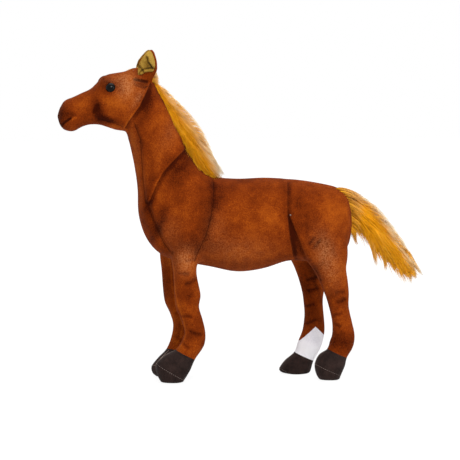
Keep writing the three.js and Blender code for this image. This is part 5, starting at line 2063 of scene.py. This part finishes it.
def wisps(name, fans, seed):
    """Loose strands. Each runs from a line of roots over a second line to a line of ends."""
    draw = np.random.RandomState(seed)
    forms, along, tone, pale = [], [], [], []
    for *lines, count, (near, far), fair in fans:
        lines = [np.array(line, float) for line in lines]
        locks = draw.uniform(0, 1, max(2, count // 25))
        for _ in range(count):
            u = draw.uniform(0, 1)
            a, b, c = (
                np.array([np.interp(u, np.linspace(0, 1, len(line)), line[:, j]) for j in (0, 1)])
                for line in lines
            )
            aside = np.clip(draw.normal(0, 0.5), -1, 1)
            t = np.linspace(0, draw.uniform(0.62, 1.0) * (1 - 0.3 * aside**2), 7)[:, None]
            path = a * (1 - t) * (1 - 2 * t) + b * 4 * t * (1 - t) + c * t * (2 * t - 1)
            path = path + draw.normal(0, 0.5, 2) + draw.normal(0, 0.9, 2) * t * (1 - t)
            depth = (near + far + aside * (far - near)) / 2 + draw.normal(0, 0.0006) * t[:, 0]
            path = np.array([from_sheet(*spot, y) for spot, y in zip(path, depth)])
            forms.append(bristle(path, draw.uniform(0.0002, 0.00042)))
            along += [0.1 + 0.9 * v for v in np.repeat(t[:-1, 0], 3)] + [1.0]
            shared = locks[int(u * 0.999 * len(locks))]
            tone += [0.7 * shared + 0.3 * draw.uniform(0, 1)] * len(forms[-1][0])
            pale += [np.interp(u, (0, 1), fair)] * len(forms[-1][0])
    obj = new_object(name, *joined(forms))
    for label, values in (("along", along), ("tone", tone), ("pale", pale)):
        set_number(obj.data, label, values)
    smooth_shaded(obj)
    obj.data.materials.append(material_named("golden_long_pile"))
    return obj


def bristle(path, radius):
    """A three-sided tapering strand along a path."""
    points = []
    for k, place in enumerate(path[:-1]):
        along = path[k + 1] - place
        along = along / np.linalg.norm(along)
        side = np.cross(along, [0.0, 1.0, 0.0])
        side = side / np.linalg.norm(side)
        other = np.cross(along, side)
        wide = radius * (1 - (k / len(path)) ** 2)
        for j in range(3):
            a = 2 * math.pi * j / 3
            points.append(place + wide * (math.cos(a) * side + math.sin(a) * other))
    points.append(path[-1])
    return pointed(np.array(points), 3)


class PLUSHHORSE_OT_stage(bpy.types.Operator):
    """Sets the floor, the lights and the camera"""

    bl_idname = "plush_horse.stage"
    bl_label = "Stage"

    def execute(self, context):
        scene = context.scene
        scene.view_settings.view_transform = "Standard"
        right, up, back = (Vector(v) for v in view_axes())
        data = bpy.data.cameras.new("camera")
        data.lens = SENSOR_WIDTH * VIEW_DISTANCE / (SHEET * SHEET_STEP)
        data.clip_start = 0.05
        camera = bpy.data.objects.new("camera", data)
        scene.collection.objects.link(camera)
        camera.location = SHEET_MIDDLE + back * VIEW_DISTANCE
        camera.rotation_euler = Matrix((right, up, back)).transposed().to_euler()
        scene.camera = camera
        signs = ((-1, -1), (1, -1), (1, 1), (-1, 1))
        corners = [(x * FLOOR_REACH, y * FLOOR_REACH, 0) for x, y in signs]
        floor = new_object("floor", corners, [(0, 1, 2, 3)])
        floor.data.materials.append(self.paper())
        for name, place, size, power, aim in LIGHTS:
            light = bpy.data.lights.new(name, "AREA")
            light.size, light.energy = size, power
            lamp = bpy.data.objects.new(name, light)
            lamp.location = place
            lamp.rotation_euler = (Vector(place) - Vector(aim)).to_track_quat("Z", "Y").to_euler()
            scene.collection.objects.link(lamp)
        self.room(scene)
        return {"FINISHED"}

    def paper(self):
        """A pale floor that shows as the plain white of the room."""
        material = bpy.data.materials.new("pale_floor")
        material.use_nodes = True
        tree = material.node_tree
        shader = tree.nodes["Principled BSDF"]
        shader.inputs["Base Color"].default_value = (0.9, 0.9, 0.9, 1)
        shader.inputs["Roughness"].default_value = 0.9
        coords = node(tree, "ShaderNodeTexCoord").outputs["Object"]
        away = node(tree, "ShaderNodeVectorMath", {0: coords}, operation="LENGTH").outputs["Value"]
        plain = ranged(tree, away, 0.35, 0.9, 0.84, 1.0)
        glow = node(tree, "ShaderNodeEmission", {"Strength": 1.1})
        shown = sums(tree, "MULTIPLY", seen_rays(tree), plain)
        mix = node(tree, "ShaderNodeMixShader", {0: shown, 1: shader, 2: glow})
        wire(tree, mix, tree.nodes["Material Output"].inputs[0])
        return material

    def room(self, scene):
        """White for the rays that show the room, and dimmer for those that light the toy."""
        world = scene.world or bpy.data.worlds.new("room")
        scene.world = world
        world.use_nodes = True
        tree = world.node_tree
        tree.nodes.clear()
        strength = ranged(tree, seen_rays(tree), 0, 1, 0.48, 1.0, "LINEAR")
        wires = {"Strength": strength, "Color": (1, 1, 1, 1)}
        node(tree, "ShaderNodeOutputWorld", {0: node(tree, "ShaderNodeBackground", wires)})


OPERATORS = [
    PLUSHHORSE_OT_coat,
    PLUSHHORSE_OT_hooves,
    PLUSHHORSE_OT_stitches,
    PLUSHHORSE_OT_ears,
    PLUSHHORSE_OT_eyes,
    PLUSHHORSE_OT_mane,
    PLUSHHORSE_OT_tail,
    PLUSHHORSE_OT_stage,
]


class PLUSHHORSE_PT_panel(bpy.types.Panel):
    bl_idname = "PLUSHHORSE_PT_panel"
    bl_label = "Plush Horse"
    bl_space_type = "VIEW_3D"
    bl_region_type = "UI"
    bl_category = "Plush Horse"

    def draw(self, context):
        for group in (context.scene.plush_horse_sizes, context.scene.plush_horse_colors):
            for key in group.bl_rna.properties.keys():
                if key not in ("rna_type", "name"):
                    self.layout.prop(group, key)
        for operator in OPERATORS:
            self.layout.operator(operator.bl_idname)


CLASSES = [PlushHorseSizes, PlushHorseColors, *OPERATORS, PLUSHHORSE_PT_panel]


def register():
    for cls in CLASSES:
        bpy.utils.register_class(cls)
    bpy.types.Scene.plush_horse_sizes = PointerProperty(type=PlushHorseSizes)
    bpy.types.Scene.plush_horse_colors = PointerProperty(type=PlushHorseColors)


def unregister():
    del bpy.types.Scene.plush_horse_colors
    del bpy.types.Scene.plush_horse_sizes
    for cls in reversed(CLASSES):
        bpy.utils.unregister_class(cls)


def main():
    register()
    for operator in OPERATORS:
        group, name = operator.bl_idname.split(".")
        getattr(getattr(bpy.ops, group), name)()


if __name__ == "__main__":
    main()
